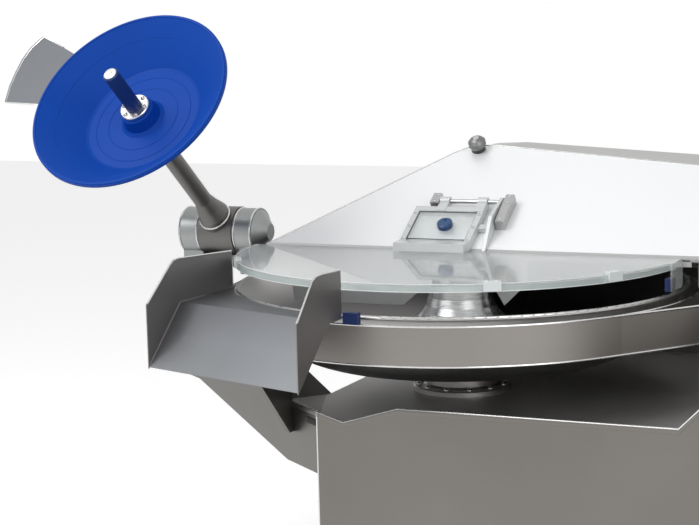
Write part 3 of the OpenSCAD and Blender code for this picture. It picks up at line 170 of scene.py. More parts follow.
def brushed(name, colour, rough=0.34, along=(2, 900, 900), bump=0.10, shade=0.16, metal=1.0):
    """Stainless steel with brush lines along one direction and a soft, uneven shade."""
    steel = Finish(name)
    line = steel.noise(steel.place(scale=along), 1.0, 3.0, 0.6)
    cloud = steel.noise(steel.place(), 2.2, 3.0, 0.5)
    dark, light = shades(colour, 1 - shade, 1 + shade)
    tone = (line * 0.45 + cloud * 0.9 - 0.18).clamped()
    steel.tone = steel.mix(tone, dark, light)
    steel.set(Base_Color=steel.tone, Metallic=metal, Roughness=line * 0.16 + (rough - 0.08) + cloud * 0.05,
              Normal=steel.bump(line, bump, 0.0004))
    return steel


def plain(name, colour, rough, metal=0.0, grain=0.12, coat=0.0):
    """An even colour with a fine grain and a wide, faint change of shade, for castings and mouldings."""
    finish = Finish(name)
    fine = finish.noise(finish.place(), 260.0, 3.0, 0.55)
    wide = finish.noise(finish.place(), 6.0, 2.0, 0.5)
    low, high = shades(colour, 0.88, 1.10)
    finish.set(Base_Color=finish.mix((fine * 0.5 + wide * 0.5).clamped(), low, high), Metallic=metal,
               Roughness=fine * 0.08 + rough, Normal=finish.bump(fine, grain, 0.0002), Coat_Weight=coat)
    return finish


def piece(name, shape, finish, body, sharp=35):
    """Turns a bmesh into a smooth-shaded piece that rides on a body."""
    bmesh.ops.recalc_face_normals(shape, faces=shape.faces)
    mesh = bpy.data.meshes.new(name)
    shape.to_mesh(mesh)
    shape.free()
    mesh.shade_smooth()
    mesh.set_sharp_from_angle(angle=math.radians(sharp))
    mesh.materials.append(finish.material)
    made = bpy.data.objects.new(name, mesh)
    bpy.context.scene.collection.objects.link(made)
    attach(made, body)
    return made


def joined(*shapes):
    """Puts several bmeshes together in one."""
    whole = bmesh.new()
    for shape in shapes:
        part = bpy.data.meshes.new("part")
        shape.to_mesh(part)
        shape.free()
        whole.from_mesh(part)
        bpy.data.meshes.remove(part)
    return whole


def placed(shape, matrix):
    bmesh.ops.transform(shape, matrix=matrix, verts=shape.verts)
    return shape


def at(x, y, z):
    """A place in metres right of the bowl's axis, behind it, and above the floor."""
    return Matrix.Translation(axis + Vector((x, y, z)))


def turned(profile, steps=48, angle=math.tau, start=0.0, closed=False):
    """Spins a profile of radii and heights about Z."""
    shape = bmesh.new()
    ring = [shape.verts.new((r * math.cos(start), r * math.sin(start), z)) for r, z in profile]
    edges = [shape.edges.new(pair) for pair in zip(ring, ring[1:])]
    if closed:
        edges.append(shape.edges.new((ring[-1], ring[0])))
    whole = angle >= math.tau
    bmesh.ops.spin(shape, geom=ring + edges, cent=(0, 0, 0), axis=(0, 0, 1), angle=angle, steps=steps,
                   use_merge=whole)
    bmesh.ops.remove_doubles(shape, verts=shape.verts, dist=1e-6)
    if not whole:
        bmesh.ops.holes_fill(shape, edges=shape.edges, sides=0)
    return shape


def rolled(radius, height, thick, steps=96, angle=math.tau, start=0.0, sides=10):
    """A round edge that follows a circle."""
    turns = [math.tau * i / sides for i in range(sides)]
    return turned([(radius + thick * math.cos(t), height + thick * math.sin(t)) for t in turns],
                  steps, angle, start, closed=True)


def cut(outline, thick, edge=0.0008):
    """A sheet with the outline given in X and Y and its thickness along Z."""
    shape = bmesh.new()
    face = shape.faces.new([shape.verts.new((x, y, 0)) for x, y in outline])
    grown = bmesh.ops.extrude_face_region(shape, geom=[face])["geom"]
    top = [v for v in grown if isinstance(v, bmesh.types.BMVert)]
    bmesh.ops.translate(shape, vec=(0, 0, thick), verts=top)
    bmesh.ops.bevel(shape, geom=shape.edges[:], offset=edge, segments=2, profile=0.5, affect="EDGES",
                    material=-1)
    return shape


def block(low, high, edge):
    """A box between two corners, with rounded edges."""
    shape = bmesh.new()
    bmesh.ops.create_cube(shape, size=1.0)
    low, high = Vector(low), Vector(high)
    bmesh.ops.scale(shape, vec=high - low, verts=shape.verts)
    bmesh.ops.translate(shape, vec=(high + low) / 2, verts=shape.verts)
    bmesh.ops.bevel(shape, geom=shape.edges[:], offset=edge, segments=3, profile=0.5, affect="EDGES",
                    material=-1)
    return shape


def bead(points, thick):
    """A round bar or weld bead through points."""
    line = bpy.data.curves.new("bead", "CURVE")
    line.dimensions = "3D"
    line.bevel_depth = thick
    line.bevel_resolution = 2
    line.use_fill_caps = True
    spline = line.splines.new("POLY")
    spline.points.add(len(points) - 1)
    for point, spot in zip(spline.points, points):
        point.co = (*spot, 1)
    holder = bpy.data.objects.new("bead", line)
    mesh = bpy.data.meshes.new_from_object(holder)
    shape = bmesh.new()
    shape.from_mesh(mesh)
    bmesh.ops.remove_doubles(shape, verts=shape.verts, dist=1e-6)
    bpy.data.objects.remove(holder)
    bpy.data.curves.remove(line)
    bpy.data.meshes.remove(mesh)
    return shape


def screw(radius, height):
    """A domed screw head with a recess. Its outline is in shares of its radius and height."""
    shares = [(0, 0.35), (0.36, 0.35), (0.42, 0.95), (0.62, 1), (0.88, 0.72), (1, 0.3), (1, 0)]
    return turned([(radius * r, height * h) for r, h in shares], 20)


def screws(size, places):
    """Screws of one radius and height at each of the places."""
    return joined(*[placed(screw(*size), spot) for spot in places])


def screw_ring(size, count, radius, height, matrix, first=0.0):
    """Screws of one size, evenly round a circle."""
    turns = [first + math.tau * i / count for i in range(count)]
    spots = [(radius * math.cos(t), radius * math.sin(t), height) for t in turns]
    return screws(size, [matrix @ Matrix.Translation(spot) for spot in spots])


upright = Matrix.Rotation(math.radians(90), 4, "X")
front_y = -0.526
base_foot_z = 0.115
hem_h = 0.013
hem_t = 0.0025
fold_r = 0.0028
panel_weld_r = 0.0035
panel_weld_in = 0.003
panel_weld_top = 0.712
panel_top = [(-0.220, 0.714), (-0.142, 0.690), (0.016, 0.738), (0.773, 0.738), (0.860, 0.825)]
panel_steel = brushed("brushed_panel", (0.185, 0.176, 0.163), 0.38)
arm_steel = brushed("brushed_arm", (0.185, 0.18, 0.17), 0.40, along=(900, 900, 3))
edge_steel = brushed("bright_edge", (0.62, 0.62, 0.61), 0.25, along=(40, 40, 40), bump=0.02)
bright_screw = plain("bright_screw", (0.55, 0.55, 0.55), 0.22, metal=1.0)
rubber = plain("black_rubber", (0.02, 0.02, 0.02), 0.6)
panel_steel.slot = arm_steel.slot = "housing_steel"
edge_steel.slot = bright_screw.slot = "bright_steel"
rubber.slot = "belt_rubber"
wear(panel_steel, "base_housing", "front_panel", "rear_housing", "drive_housing", "service_door",
     "door_hinge")
wear(arm_steel, "support_arm", "chute_bracket", "guard_brackets")


def hem(top):
    """A flat strip along the top edge of a sheet."""
    return cut(top + [(x, z - hem_h) for x, z in reversed(top)], hem_t)


panel_place = at(0, front_y, 0) @ upright
piece("panel_hem", placed(hem(panel_top), panel_place), panel_steel, "base")
fold = bead([(x, z, 0) for x, z in panel_top], fold_r)
piece("panel_fold", placed(fold, panel_place), edge_steel, "base")
weld_line = [(panel_top[0][0], front_y + panel_weld_in, z) for z in (base_foot_z, panel_weld_top)]
piece("corner_weld", placed(bead(weld_line, panel_weld_r), at(0, 0, 0)), edge_steel, "base")


# Arm: a box of bent plate that carries the unloader's post. Its front plate has the panel's hem,
# a slot beside the corner, and the post's socket is screwed down through its flange
arm_turn = math.radians(38)
arm_root = (-0.220, -0.521, 0)
arm_top = [(0.004, 0.714), (0.287, 0.714), (0.560, 0.765), (0.985, 0.765)]
arm_fold_in = 0.001
slot_low, slot_high, slot_edge = (0.010, -0.0022, 0.672), (0.062, 0.001, 0.690), 0.0008
flange_screw = (0.007, 0.006)
flange_screw_n = 8
flange_screw_r = 0.084
flange_screw_first = 0.3
arm_place = at(*arm_root) @ Matrix(((-math.cos(arm_turn), math.sin(arm_turn), 0, 0),
                                    (math.sin(arm_turn), math.cos(arm_turn), 0, 0),
                                    (0, 0, 1, 0), (0, 0, 0, 1)))
piece("arm_hem", placed(hem(arm_top), arm_place @ upright), arm_steel, "base")
fold = bead([(u, z, arm_fold_in) for u, z in arm_top], fold_r)
piece("arm_fold", placed(fold, arm_place @ upright), edge_steel, "base")
# The slot is drawn as a thin black block on the plate: painted shade standing for its dark opening
piece("arm_slot", placed(block(slot_low, slot_high, slot_edge), arm_place), rubber, "base")
post_at = at(-0.857, 0.100, 0.777)
piece("post_flange_screws",
      screw_ring(flange_screw, flange_screw_n, flange_screw_r, 0, post_at, flange_screw_first),
      bright_screw, "base")


# Levelling feet: screwed stainless feet under the corners of both housings. Each has a lock nut
# under the base and stands on a moulded rubber sole
foot_steel = brushed("turned_foot", (0.42, 0.42, 0.41), 0.28, along=(4, 4, 900), bump=0.05)
wear(foot_steel, "levelling_feet")
feet = [(-0.135, -0.436), (0.775, -0.436), (-0.248, 0.865), (0.775, 0.865), (1.165, -0.436), (1.165, 0.865)]
sole = [(0.030, 0.0), (0.0435, 0.0), (0.045, 0.002), (0.045, 0.006), (0.0422, 0.008)]
soles = [placed(turned(sole, 40), at(x, y, 0)) for x, y in feet]
piece("foot_soles", joined(*soles), rubber, "base")


# Sides: louvres pressed into the sheet let the motor's warm air out, open at their foot. The
# housings are welded together along ground seams
louvre_side = [(0, 0), (0.009, 0.002), (0.00765, 0.0099), (0, 0.022)]
louvre_edge = 0.0012
louvre_pitch = 0.034
louvre_low = 0.250
drive_side_x = 1.250
base_side_x = -0.333
seam_r = 0.0025


def louvre(width):
    return placed(cut(louvre_side, width, louvre_edge), Matrix.Translation((0, width / 2, 0)) @ upright)


side_louvres = [placed(louvre(0.200), at(drive_side_x, y, louvre_low + louvre_pitch * i))
                for y in (0.60, 0.84) for i in range(9)]
piece("drive_louvres", joined(*side_louvres), panel_steel, "base")
turned_round = Matrix.Rotation(math.pi, 4, "Z")
left_louvres = [placed(louvre(0.180), at(base_side_x, y, louvre_low + louvre_pitch * i) @ turned_round)
                for y in (0.12, 0.34, 0.56) for i in range(8)]
piece("base_louvres", joined(*left_louvres), panel_steel, "base")
seam_lines = [((-0.334, 0.705, base_foot_z), (-0.334, 0.705, 1.018)),
              ((-0.333, 0.945, 1.020), (0.860, 0.945, 1.020)),
              ((0.860, 0.230, 1.228), (0.860, 0.720, 1.228))]
seams = [bead([axis + Vector(p) for p in line], seam_r) for line in seam_lines]
piece("housing_seams", joined(*seams), edge_steel, "base")


# Service door: a sheet door over the belt drive with a raised rim and a rubber seal behind it. It
# hangs on two screwed hinges and shuts with a quarter-turn latch
black = plain("black_plastic", (0.02, 0.02, 0.02), 0.4)
wear(black, "knob_base", "door_latch", "selector_switch")
sideways = Matrix.Rotation(math.radians(90), 4, "Y")
face_x = 1.2545
rim_in, rim_out, rim_w, rim_edge = 0.001, 0.0022, 0.016, 0.001
rim_y = (-0.391, 0.315)
rim_z = (0.222, 0.808)
seal = block((1.2497, -0.395, 0.216), (1.2503, 0.334, 0.814), 0.0002)
piece("door_seal", placed(seal, at(0, 0, 0)), rubber, "base")
rims = [block((face_x - rim_in, rim_y[0], z), (face_x + rim_out, rim_y[1], z + rim_w), rim_edge)
        for z in (rim_z[0], rim_z[1] - rim_w)]
rims += [block((face_x - rim_in, y, rim_z[0]), (face_x + rim_out, y + rim_w, rim_z[1]), rim_edge)
         for y in (rim_y[0], rim_y[1] - rim_w)]
piece("door_rim", placed(joined(*rims), at(0, 0, 0)), panel_steel, "door")
latch_ring = [(0.0155, 0), (0.024, 0), (0.024, 0.002), (0.022, 0.003), (0.0155, 0.003)]
latch_place = at(face_x, -0.353, 0.515) @ sideways
piece("latch_plate", placed(turned(latch_ring, 40, closed=True), latch_place), edge_steel, "door")
leaf_screw = (0.0045, 0.003)
leaf_spots = [at(face_x, 0.318, z) @ sideways for z in (0.328, 0.338, 0.714, 0.724)]
piece("hinge_screws", screws(leaf_screw, leaf_spots), bright_screw, "door")


# Console: a brushed plate screwed to the drive housing's front top. Its buttons and switch have
# pressed collars, and the emergency stop's is yellow
wear(brushed("console_plate", (0.40, 0.40, 0.39), 0.32, along=(3, 700, 700)), "control_panel")
wear(plain("green_plastic", (0.02, 0.35, 0.08), 0.35, coat=0.3), "start_button")
wear(plain("red_plastic", (0.60, 0.02, 0.02), 0.35, coat=0.3), "stop_button", "emergency_stop")
yellow = plain("yellow_plastic", (0.75, 0.50, 0.01), 0.4)
console_x = (0.987, 1.220)
button_y = -0.371
console_top = 0.935
button_n = 4
button_x = [console_x[0] + (console_x[1] - console_x[0]) * (i + 0.5) / button_n for i in range(button_n)]
collar = [(0.0168, 0), (0.022, 0), (0.022, 0.0015), (0.0205, 0.0028), (0.0176, 0.0028), (0.0168, 0.0015)]
collars = [placed(turned(collar, 40, closed=True), at(x, button_y, console_top)) for x in button_x[:3]]
piece("button_collars", joined(*collars), edge_steel, "base")
stop_collar = [(0.0240, 0), (0.033, 0), (0.033, 0.001), (0.032, 0.002), (0.0240, 0.002)]
stop_place = at(button_x[3], button_y, console_top)
piece("emergency_collar", placed(turned(stop_collar, 48, closed=True), stop_place), yellow, "base")
console_screw = (0.005, 0.003)
console_spots = [at(x, y, console_top) for x in (0.997, 1.210) for y in (-0.471, -0.271)]
piece("console_screws", screws(console_screw, console_spots), bright_screw, "base")


# Deck and pedestal: a polished plate under the bowl. The bowl's turned pedestal stands on it and is
# bolted down through its flange
deck = 0.690
deck_steel = brushed("polished_deck", (0.62, 0.61, 0.60), 0.50, along=(300, 2, 2), bump=0.02)
wear(deck_steel, "deck_plate")
pedestal_steel = brushed("turned_pedestal", (0.62, 0.60, 0.58), 0.42, along=(4, 4, 1200), bump=0.05)
pedestal_steel.slot = "bright_steel"
wear(pedestal_steel, "bowl_pedestal", "bowl_shaft", "shaft_bearings")
foot_ring = [(0.1062, 0), (0.142, 0), (0.142, 0.012), (0.139, 0.015), (0.112, 0.015), (0.1062, 0.020)]
flange = turned(foot_ring, 72, closed=True)
piece("pedestal_flange", placed(flange, at(0, 0, deck)), pedestal_steel, "base")
pedestal_bolt = (0.008, 0.007)
pedestal_bolt_n = 12
pedestal_bolt_r = 0.126
flange_top = 0.015
piece("pedestal_bolts",
      screw_ring(pedestal_bolt, pedestal_bolt_n, pedestal_bolt_r, flange_top, at(0, 0, deck)),
      bright_screw, "base")


# Guard: a rolled stainless band round the bowl that runs straight to the drive housing. Its two
# edges are rolled over a wire and polished
band_steel = brushed("brushed_band", (0.26, 0.245, 0.23), 0.46, along=(2, 2, 900))
wear(band_steel, "bowl_guard")
guard_low, guard_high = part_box("bowl_guard")
half_sheet = 0.0015
roll_r = 0.0030
band_r = axis.x - guard_low.x - half_sheet
band_end_x = 0.860
leave = math.radians(53)
band_turn = Vector((band_r * math.sin(leave), -band_r * math.cos(leave), 0))
run = (band_end_x - band_turn.x) / math.cos(leave)
band_end = band_turn + Vector((math.cos(leave), math.sin(leave), 0)) * run
edges = []
for height in (0.884, 0.987):
    lift = Vector((0, 0, height))
    edges.append(placed(rolled(band_r, height, roll_r, 144), at(0, 0, 0)))
    edges.append(bead([axis + band_turn + lift, axis + band_end + lift], roll_r))
piece("band_edges", joined(*edges), edge_steel, "base")


# Bowl: a cast and turned stainless bowl with a bead round its rim. The turned hub cone is screwed
# over its middle, with a flat cap on top
bowl_steel = brushed("turned_bowl", (0.50, 0.49, 0.48), 0.36, along=(4, 4, 900), bump=0.03)
# Painted shade: the bowl's colour darkens from near the rim down into the bowl, standing for the shade inside
# it
bowl_lit_z, bowl_dark_z = 0.995, 0.90
painted_shade = bowl_steel.along("Z", bowl_lit_z, bowl_dark_z)
bowl_steel.set(Base_Color=bowl_steel.mix(painted_shade * 0.72, bowl_steel.tone, (0.05, 0.048, 0.05, 1)))
wear(bowl_steel, "bowl")
hub_steel = brushed("turned_hub", (0.62, 0.62, 0.62), 0.24, along=(4, 4, 1200), bump=0.04)
hub_steel.slot = "bright_steel"
wear(hub_steel, "hub_cone")
bead_mid, bead_up, bead_line_r = 0.6445, 0.0035, 0.0042
piece("bead_line", placed(rolled(bead_mid, rim + bead_up, bead_line_r, 180), at(0, 0, 0)), edge_steel, "bowl")
cap = [(0, 0.0045), (0.012, 0.0045), (0.014, 0.003), (0.060, 0.0025), (0.064, 0)]
hub_top = 0.052
piece("hub_cap", placed(turned(cap, 72), at(0, 0, rim + hub_top)), hub_steel, "bowl")


# Knives: six ground sickle knives, held on the shaft by a clamp nut. The shaft runs in a turned
# housing that is bolted to the drive housing, and painted castings drive it
knife_steel = brushed("ground_knife", (0.60, 0.61, 0.62), 0.20, along=(600, 3, 3), bump=0.04)
wear(knife_steel, "cutting_knives", "knife_shaft", "clamp_nut")
cast_steel = brushed("turned_housing", (0.34, 0.34, 0.33), 0.30, along=(900, 4, 4), bump=0.05)
wear(cast_steel, "bearing_housing")
facing_left = Matrix.Rotation(math.radians(-90), 4, "Y")
housing_at = at(0.838, 0.372, 1.038) @ facing_left
housing_bolt = (0.008, 0.008)
housing_bolt_n = 8
housing_bolt_r = 0.104
housing_bolt_first = 0.39
piece("housing_bolts",
      screw_ring(housing_bolt, housing_bolt_n, housing_bolt_r, 0, housing_at, housing_bolt_first),
      bright_screw, "base")
painted = plain("painted_casting", (0.20, 0.24, 0.28), 0.5)
wear(painted, "bowl_gearmotor", "main_motor", "knife_pulley", "motor_pulley", "disc_motor")
wear(plain("belt_rubber", (0.03, 0.03, 0.03), 0.7), "drive_belts")


# Chute: a folded and brushed slide, welded between two walls of the same sheet. The walls' tops are
# hemmed round, and blue pads carry the back corners on the guard
slide_steel = brushed("brushed_slide", (0.20, 0.208, 0.218), 0.42, along=(3, 300, 300))
slide_low_z, slide_high_z = 0.93, 1.005
shadow = slide_steel.along("Z", slide_low_z, slide_high_z)
slide_steel.set(Base_Color=slide_steel.mix(shadow * 0.35, slide_steel.tone, (0.10, 0.10, 0.108, 1)))
wall_steel = brushed("brushed_wall", (0.24, 0.23, 0.228), 0.44, along=(900, 300, 300))
wear(slide_steel, "chute_slide")
wall_steel.slot = "plate_steel"
wear(wall_steel, "chute_left_wall", "chute_right_wall")
navy = plain("navy_pad", (0.003, 0.02, 0.11), 0.40, grain=0.2)
wear(navy, "chute_pads")
chute_place = at(0, 0, 0) @ Matrix.Rotation(math.radians(-5.4), 4, "Z")
width, fold_y = 0.545, -0.626
fold_slant = math.radians(13.5)
slide_slope = math.radians(45)
slide_len = 0.216
fold_right = fold_y - width * math.tan(fold_slant)
slide_run = slide_len * math.cos(slide_slope) / math.cos(fold_slant)
slide_drop = slide_len * math.sin(slide_slope)
wall_h = 0.128
half_wall = 0.0015
end_in = 0.0035
hem_r = 0.0026
left_turns = [(-0.328, 0.109), (-0.203, 0.039), (-0.031, 0.016)]
right_turns = [(-0.594, 0.062), (-0.438, -0.008), (-0.203, -0.023)]
walls = [(-width - half_wall, fold_y, 1.022, left_turns, (-0.366, 1.113)),
         (half_wall, fold_right, 1.026, right_turns, (-0.692, 1.130))]
hems = []
for x, y, front_z, turns, back_end in walls:
    line = [(x, y - slide_run + end_in, front_z)]
    line += [(x, y + forward * wall_h, rim + wall_h - down * wall_h) for forward, down in turns]
    line.append((x, *back_end))
    hems.append(placed(bead([Vector(p) for p in line], hem_r), chute_place))
piece("chute_hems", joined(*hems), edge_steel, "base")
flat_z = 1.006
flat_weld_len = 0.12
weld_r = 0.0022
weld_end_in = 0.004
welds = []
for x, y in ((-width, fold_y), (0.0, fold_right)):
    foot = Vector((x, y - slide_run + weld_end_in, flat_z + weld_end_in - slide_drop))
    welds.append(bead([Vector((x, y + flat_weld_len, flat_z)), Vector((x, y, flat_z)), foot], weld_r))
piece("chute_welds", placed(joined(*welds), chute_place), wall_steel, "base")
foot_edge = [Vector((x, y - slide_run + end_in, flat_z - slide_drop))
             for x, y in ((-width, fold_y), (0, fold_right))]
piece("slide_edge", placed(bead(foot_edge, weld_r), chute_place), edge_steel, "base")


# Hood: folded stainless sheet with a bright lid screwed on. Two milled blocks on the lid hold the
# cover's rod, a turned knob stands at its corner, and bolts close the hood's hinge behind
lid_slope = math.radians(32)
lid_place = at(0, -0.010, 1.090) @ Matrix.Rotation(lid_slope, 4, "X")
lid_steel = brushed("bright_lid", (0.90, 0.91, 0.92), 0.42, along=(2, 600, 600), bump=0.03,
                    shade=0.02, metal=0.35)
wear(lid_steel, "hood_lid")
hood_steel = brushed("brushed_hood", (0.42, 0.42, 0.41), 0.36, along=(2, 600, 600))
wear(hood_steel, "hood_shell", "hood_hinge_arms", "hood_hinge_bearings")
wear(brushed("matt_baffle", (0.60, 0.60, 0.60), 0.50, along=(600, 4, 4), metal=0.6), "hood_baffle")
fitting_steel = brushed("milled_fitting", (0.46, 0.46, 0.46), 0.28, along=(500, 6, 6), bump=0.04)
fitting_steel.slot = "plate_steel"
wear(fitting_steel, "rod_blocks", "hinge_rod")
knob_steel = brushed("turned_knob", (0.20, 0.20, 0.20), 0.40, along=(4, 4, 900))
wear(knob_steel, "corner_knob")
seam = block((-0.622, 0.001, -0.0004), (0.697, 0.012, 0.0012), 0.0005)
piece("lid_seam", placed(seam, lid_place), fitting_steel, "hood")
lid_line = [(-0.6225, 0.003), (-0.164, 0.469), (-0.128, 0.497), (-0.078, 0.5105), (-0.029, 0.5085),
            (0.697, 0.4115), (0.697, 0.003)]
lid_bead = bead([Vector((x, s, 0.0)) for x, s in lid_line], 0.0022)
piece("lid_edge", placed(lid_bead, lid_place), edge_steel, "hood")
rod_s = 0.205
block_top = 0.033
block_screw = (0.005, 0.003)
block_spots = [(x, rod_s + up_lid) for x in (-0.130, 0.097) for up_lid in (0.014, -0.014)]
block_spots.append((0.097, rod_s - 0.090))
piece("block_screws",
      screws(block_screw, [lid_place @ Matrix.Translation((x, s, block_top)) for x, s in block_spots]),
      bright_screw, "hood")
knob_place = lid_place @ Matrix.Translation((-0.08875, 0.487, 0.012))
knob_cap = [(0.0, 0.0345), (0.007, 0.0345), (0.009, 0.034)]
piece("knob_ring", placed(turned(knob_cap, 32), knob_place), bright_screw, "hood")
pin_bolt = (0.012, 0.008)
pin_ends = [at(0.0375, 0.785, 1.082) @ facing_left, at(0.5825, 0.785, 1.082) @ sideways]
piece("arm_bolts", screws(pin_bolt, pin_ends), bright_screw, "base")


# Clear cover: half a disc of clear polycarbonate with a turned-down rim and polished edges, their
# highlights painted as pale beads. Clips are screwed round it, and its end flanges stand on blue pads
clear = Finish("clear_sheet")
cloud = clear.noise(clear.place(), 3.0)
clear.set(Base_Color=clear.mix(cloud, (0.93, 0.97, 0.97, 1), (0.98, 1.0, 1.0, 1)),
          Roughness=cloud * 0.03 + 0.03, Transmission_Weight=0.70, IOR=1.45, Alpha=0.72)
wear(clear, "clear_cover", "cover_flanges", "hatch_window")
rim_clear = Finish("clear_rim")
cloud = rim_clear.noise(rim_clear.place(), 8.0)
rim_clear.set(Base_Color=rim_clear.mix(cloud, (0.72, 0.82, 0.80, 1), (0.86, 0.93, 0.92, 1)),
              Roughness=cloud * 0.05 + 0.08, Transmission_Weight=0.5, IOR=1.40, Alpha=0.80)
rim_clear.slot = "clear_sheet"
half_start = math.radians(180.8)
half_turn = math.radians(178.4)
rim_side = [(0.6435, 1.070), (0.6475, 1.070), (0.6475, 1.0858), (0.6435, 1.0858)]
rim_strip = turned(rim_side, 120, half_turn, half_start, closed=True)
piece("cover_rim", placed(rim_strip, at(0, 0, 0)), rim_clear, "cover")
# Pale opaque beads along the rim's top and bottom edges: a painted highlight of the polished edges
edge_highlight = plain("painted_rim_highlight", (0.80, 0.84, 0.83), 0.15, grain=0.02, coat=0.4)
edge_highlight.slot = "clear_sheet"
edge_ring_r, edge_r = 0.6468, 0.0011
lines = [placed(rolled(edge_ring_r, height, edge_r, 120, half_turn, half_start, 8), at(0, 0, 0))
         for height in (1.0912, 1.0712)]
piece("cover_edge", joined(*lines), edge_highlight, "cover")
wear(plain("clip_plastic", (0.72, 0.76, 0.76), 0.22, grain=0.03, coat=0.4), "cover_clips")
wear(navy, "cover_pads")
clip_screw = (0.0045, 0.003)
clip_shares = (0.172, 0.344, 0.822)
clip_screw_at = [(0.645, side, 1.098) for side in (-0.013, 0.013)]
clip_spots = [at(0, 0, 0) @ Matrix.Rotation(-math.pi * share, 4, "Z") @ Matrix.Translation(spot)
              for share in clip_shares for spot in clip_screw_at]
piece("clip_screws", screws(clip_screw, clip_spots), bright_screw, "cover")


# Hatch: a small window in the cover's hinge frame, seated on a rubber seal and screwed down at the
# sides. A moulded blue knob closes it with a quarter turn
wear(plain("hatch_acrylic", (0.62, 0.64, 0.64), 0.20, grain=0.03, coat=0.5), "hatch_frame")
blue = plain("blue_knob", (0.004, 0.05, 0.16), 0.36, coat=0.2)
wear(blue, "blue_knob")
rail_top = 0.024
rail_spots = [lid_place @ Matrix.Translation((x, s, rail_top))
              for x in (-0.1765, 0.0235) for s in (0.020, 0.080, 0.140)]
piece("frame_screws", screws(clip_screw, rail_spots), bright_screw, "cover")
pane_x, pane_s, pane_z = (-0.167, 0.014), (0.026, 0.151), 0.0212
seal_r = 0.0014
pane_line = [(pane_x[0], pane_s[0]), (pane_x[0], pane_s[1]), (pane_x[1], pane_s[1]), (pane_x[1], pane_s[0]),
             (pane_x[0], pane_s[0])]
pane_bead = bead([Vector((x, s, pane_z)) for x, s in pane_line], seal_r)
piece("pane_seal", placed(pane_bead, lid_place), rubber, "cover")


# Unloader: a turned post in the arm's socket with a welded yoke on it. Two satin drums clamp the
# hub of the tilting tube between them
drum_steel = brushed("satin_drum", (0.30, 0.31, 0.31), 0.40, along=(900, 5, 5), bump=0.05)
post_steel = brushed("satin_post", (0.30, 0.29, 0.292), 0.40, along=(5, 5, 900), bump=0.05)
tube_steel = brushed("satin_tube", (0.15, 0.145, 0.14), 0.42, along=(5, 5, 60), bump=0.04)
wear(drum_steel, "pivot_yoke", "pivot_shaft")
wear(post_steel, "unloader_post")
wear(tube_steel, "arm_tube")
pivot_y, pivot_z = 0.100, 1.115
drum_at = at(0, pivot_y, pivot_z) @ sideways
drum_edge_r, drum_bead_r = 0.0718, 0.0028
rings = [placed(rolled(drum_edge_r, x, drum_bead_r, 60), drum_at) for x in (-0.942, -0.8815, -0.7545, -0.698)]
piece("drum_rings", joined(*rings), edge_steel, "post")
cap_place = at(-0.946, pivot_y, pivot_z) @ facing_left
end_cap = [(0, 0.004), (0.030, 0.004), (0.034, 0.0), (0.060, 0.0), (0.064, -0.001)]
piece("drum_cap", placed(turned(end_cap, 60), cap_place), edge_steel, "post")
cap_screw = (0.0055, 0.005)
cap_screw_n = 6
cap_screw_r = 0.048
piece("drum_screws", screw_ring(cap_screw, cap_screw_n, cap_screw_r, 0, cap_place), bright_screw, "post")
yoke_screw = (0.006, 0.005)
yoke_screw_n = 4
yoke_screw_r = 0.058
yoke_t = 0.014
yoke_first = 0.78
yoke_place = at(-0.857, pivot_y, 1.019)
piece("yoke_screws",
      screw_ring(yoke_screw, yoke_screw_n, yoke_screw_r, yoke_t, yoke_place, yoke_first),
      bright_screw, "post")
tube_turn = math.radians(-3)
tube_lean = math.radians(49)
tube_place = (at(-0.818, pivot_y, pivot_z) @ Matrix.Rotation(tube_turn, 4, "Z")
              @ Matrix.Rotation(tube_lean, 4, "X"))
foot_ring_r, foot_ring_up, foot_bead_r = 0.0480, 0.0800, 0.0035
piece("foot_ring", placed(rolled(foot_ring_r, foot_ring_up, foot_bead_r, 60), tube_place), edge_steel, "arm")
collar_r, collar_bead_r = 0.0425, 0.0016
collar_ring = [placed(rolled(collar_r, z, collar_bead_r, 48), tube_place) for z in (0.5345, 0.5450)]
piece("collar_rings", joined(*collar_ring), edge_steel, "arm")


# Scraper: a brushed plate fixed to the tube behind the disc, which it reaches past on the left. Its
# free edge is rolled round
scraper_steel = brushed("brushed_scraper", (0.15, 0.156, 0.168), 0.46, along=(300, 300, 3))
wear(scraper_steel, "scraper_plate")
dish_r = 0.305
edge_in_x, edge_in_y, edge_bead_r = 0.0055, 0.002, 0.0026
plate_z = 0.523
scraper = [(1.47, 1.02), (1.77, 1.16), (1.86, 1.02), (1.90, 0.87), (1.91, 0.70), (1.905, 0.52),
           (1.87, 0.32), (1.40, 0.29)]
free_edge = [Vector((-dish_r * x + edge_in_x, dish_r * y - edge_in_y, plate_z)) for x, y in scraper]
piece("scraper_edge", placed(bead(free_edge, edge_bead_r), tube_place), edge_steel, "arm")


# Disc: a turned disc of blue food-grade plastic with a thick lip and faint tool marks. It sits on a
# steel pin coloured navy as a painted reflection of the blue disc, under a steel clamp ring with six screws
disc_blue = Finish("disc_blue")
wide = disc_blue.noise(disc_blue.place(), 5.0)
fine = disc_blue.noise(disc_blue.place(), 320.0, 3.0, 0.6)
low, high = shades((0.0003, 0.052, 0.34), 0.86, 1.12)
disc_blue.set(Base_Color=disc_blue.mix((wide * 0.7 + fine * 0.3).clamped(), low, high),
              Roughness=fine * 0.10 + 0.46, Normal=disc_blue.bump(fine, 0.08, 0.0002),
              Specular_IOR_Level=0.16)
disc_blue.slot = "blue_plastic"
wear(disc_blue, "unloader_dish")
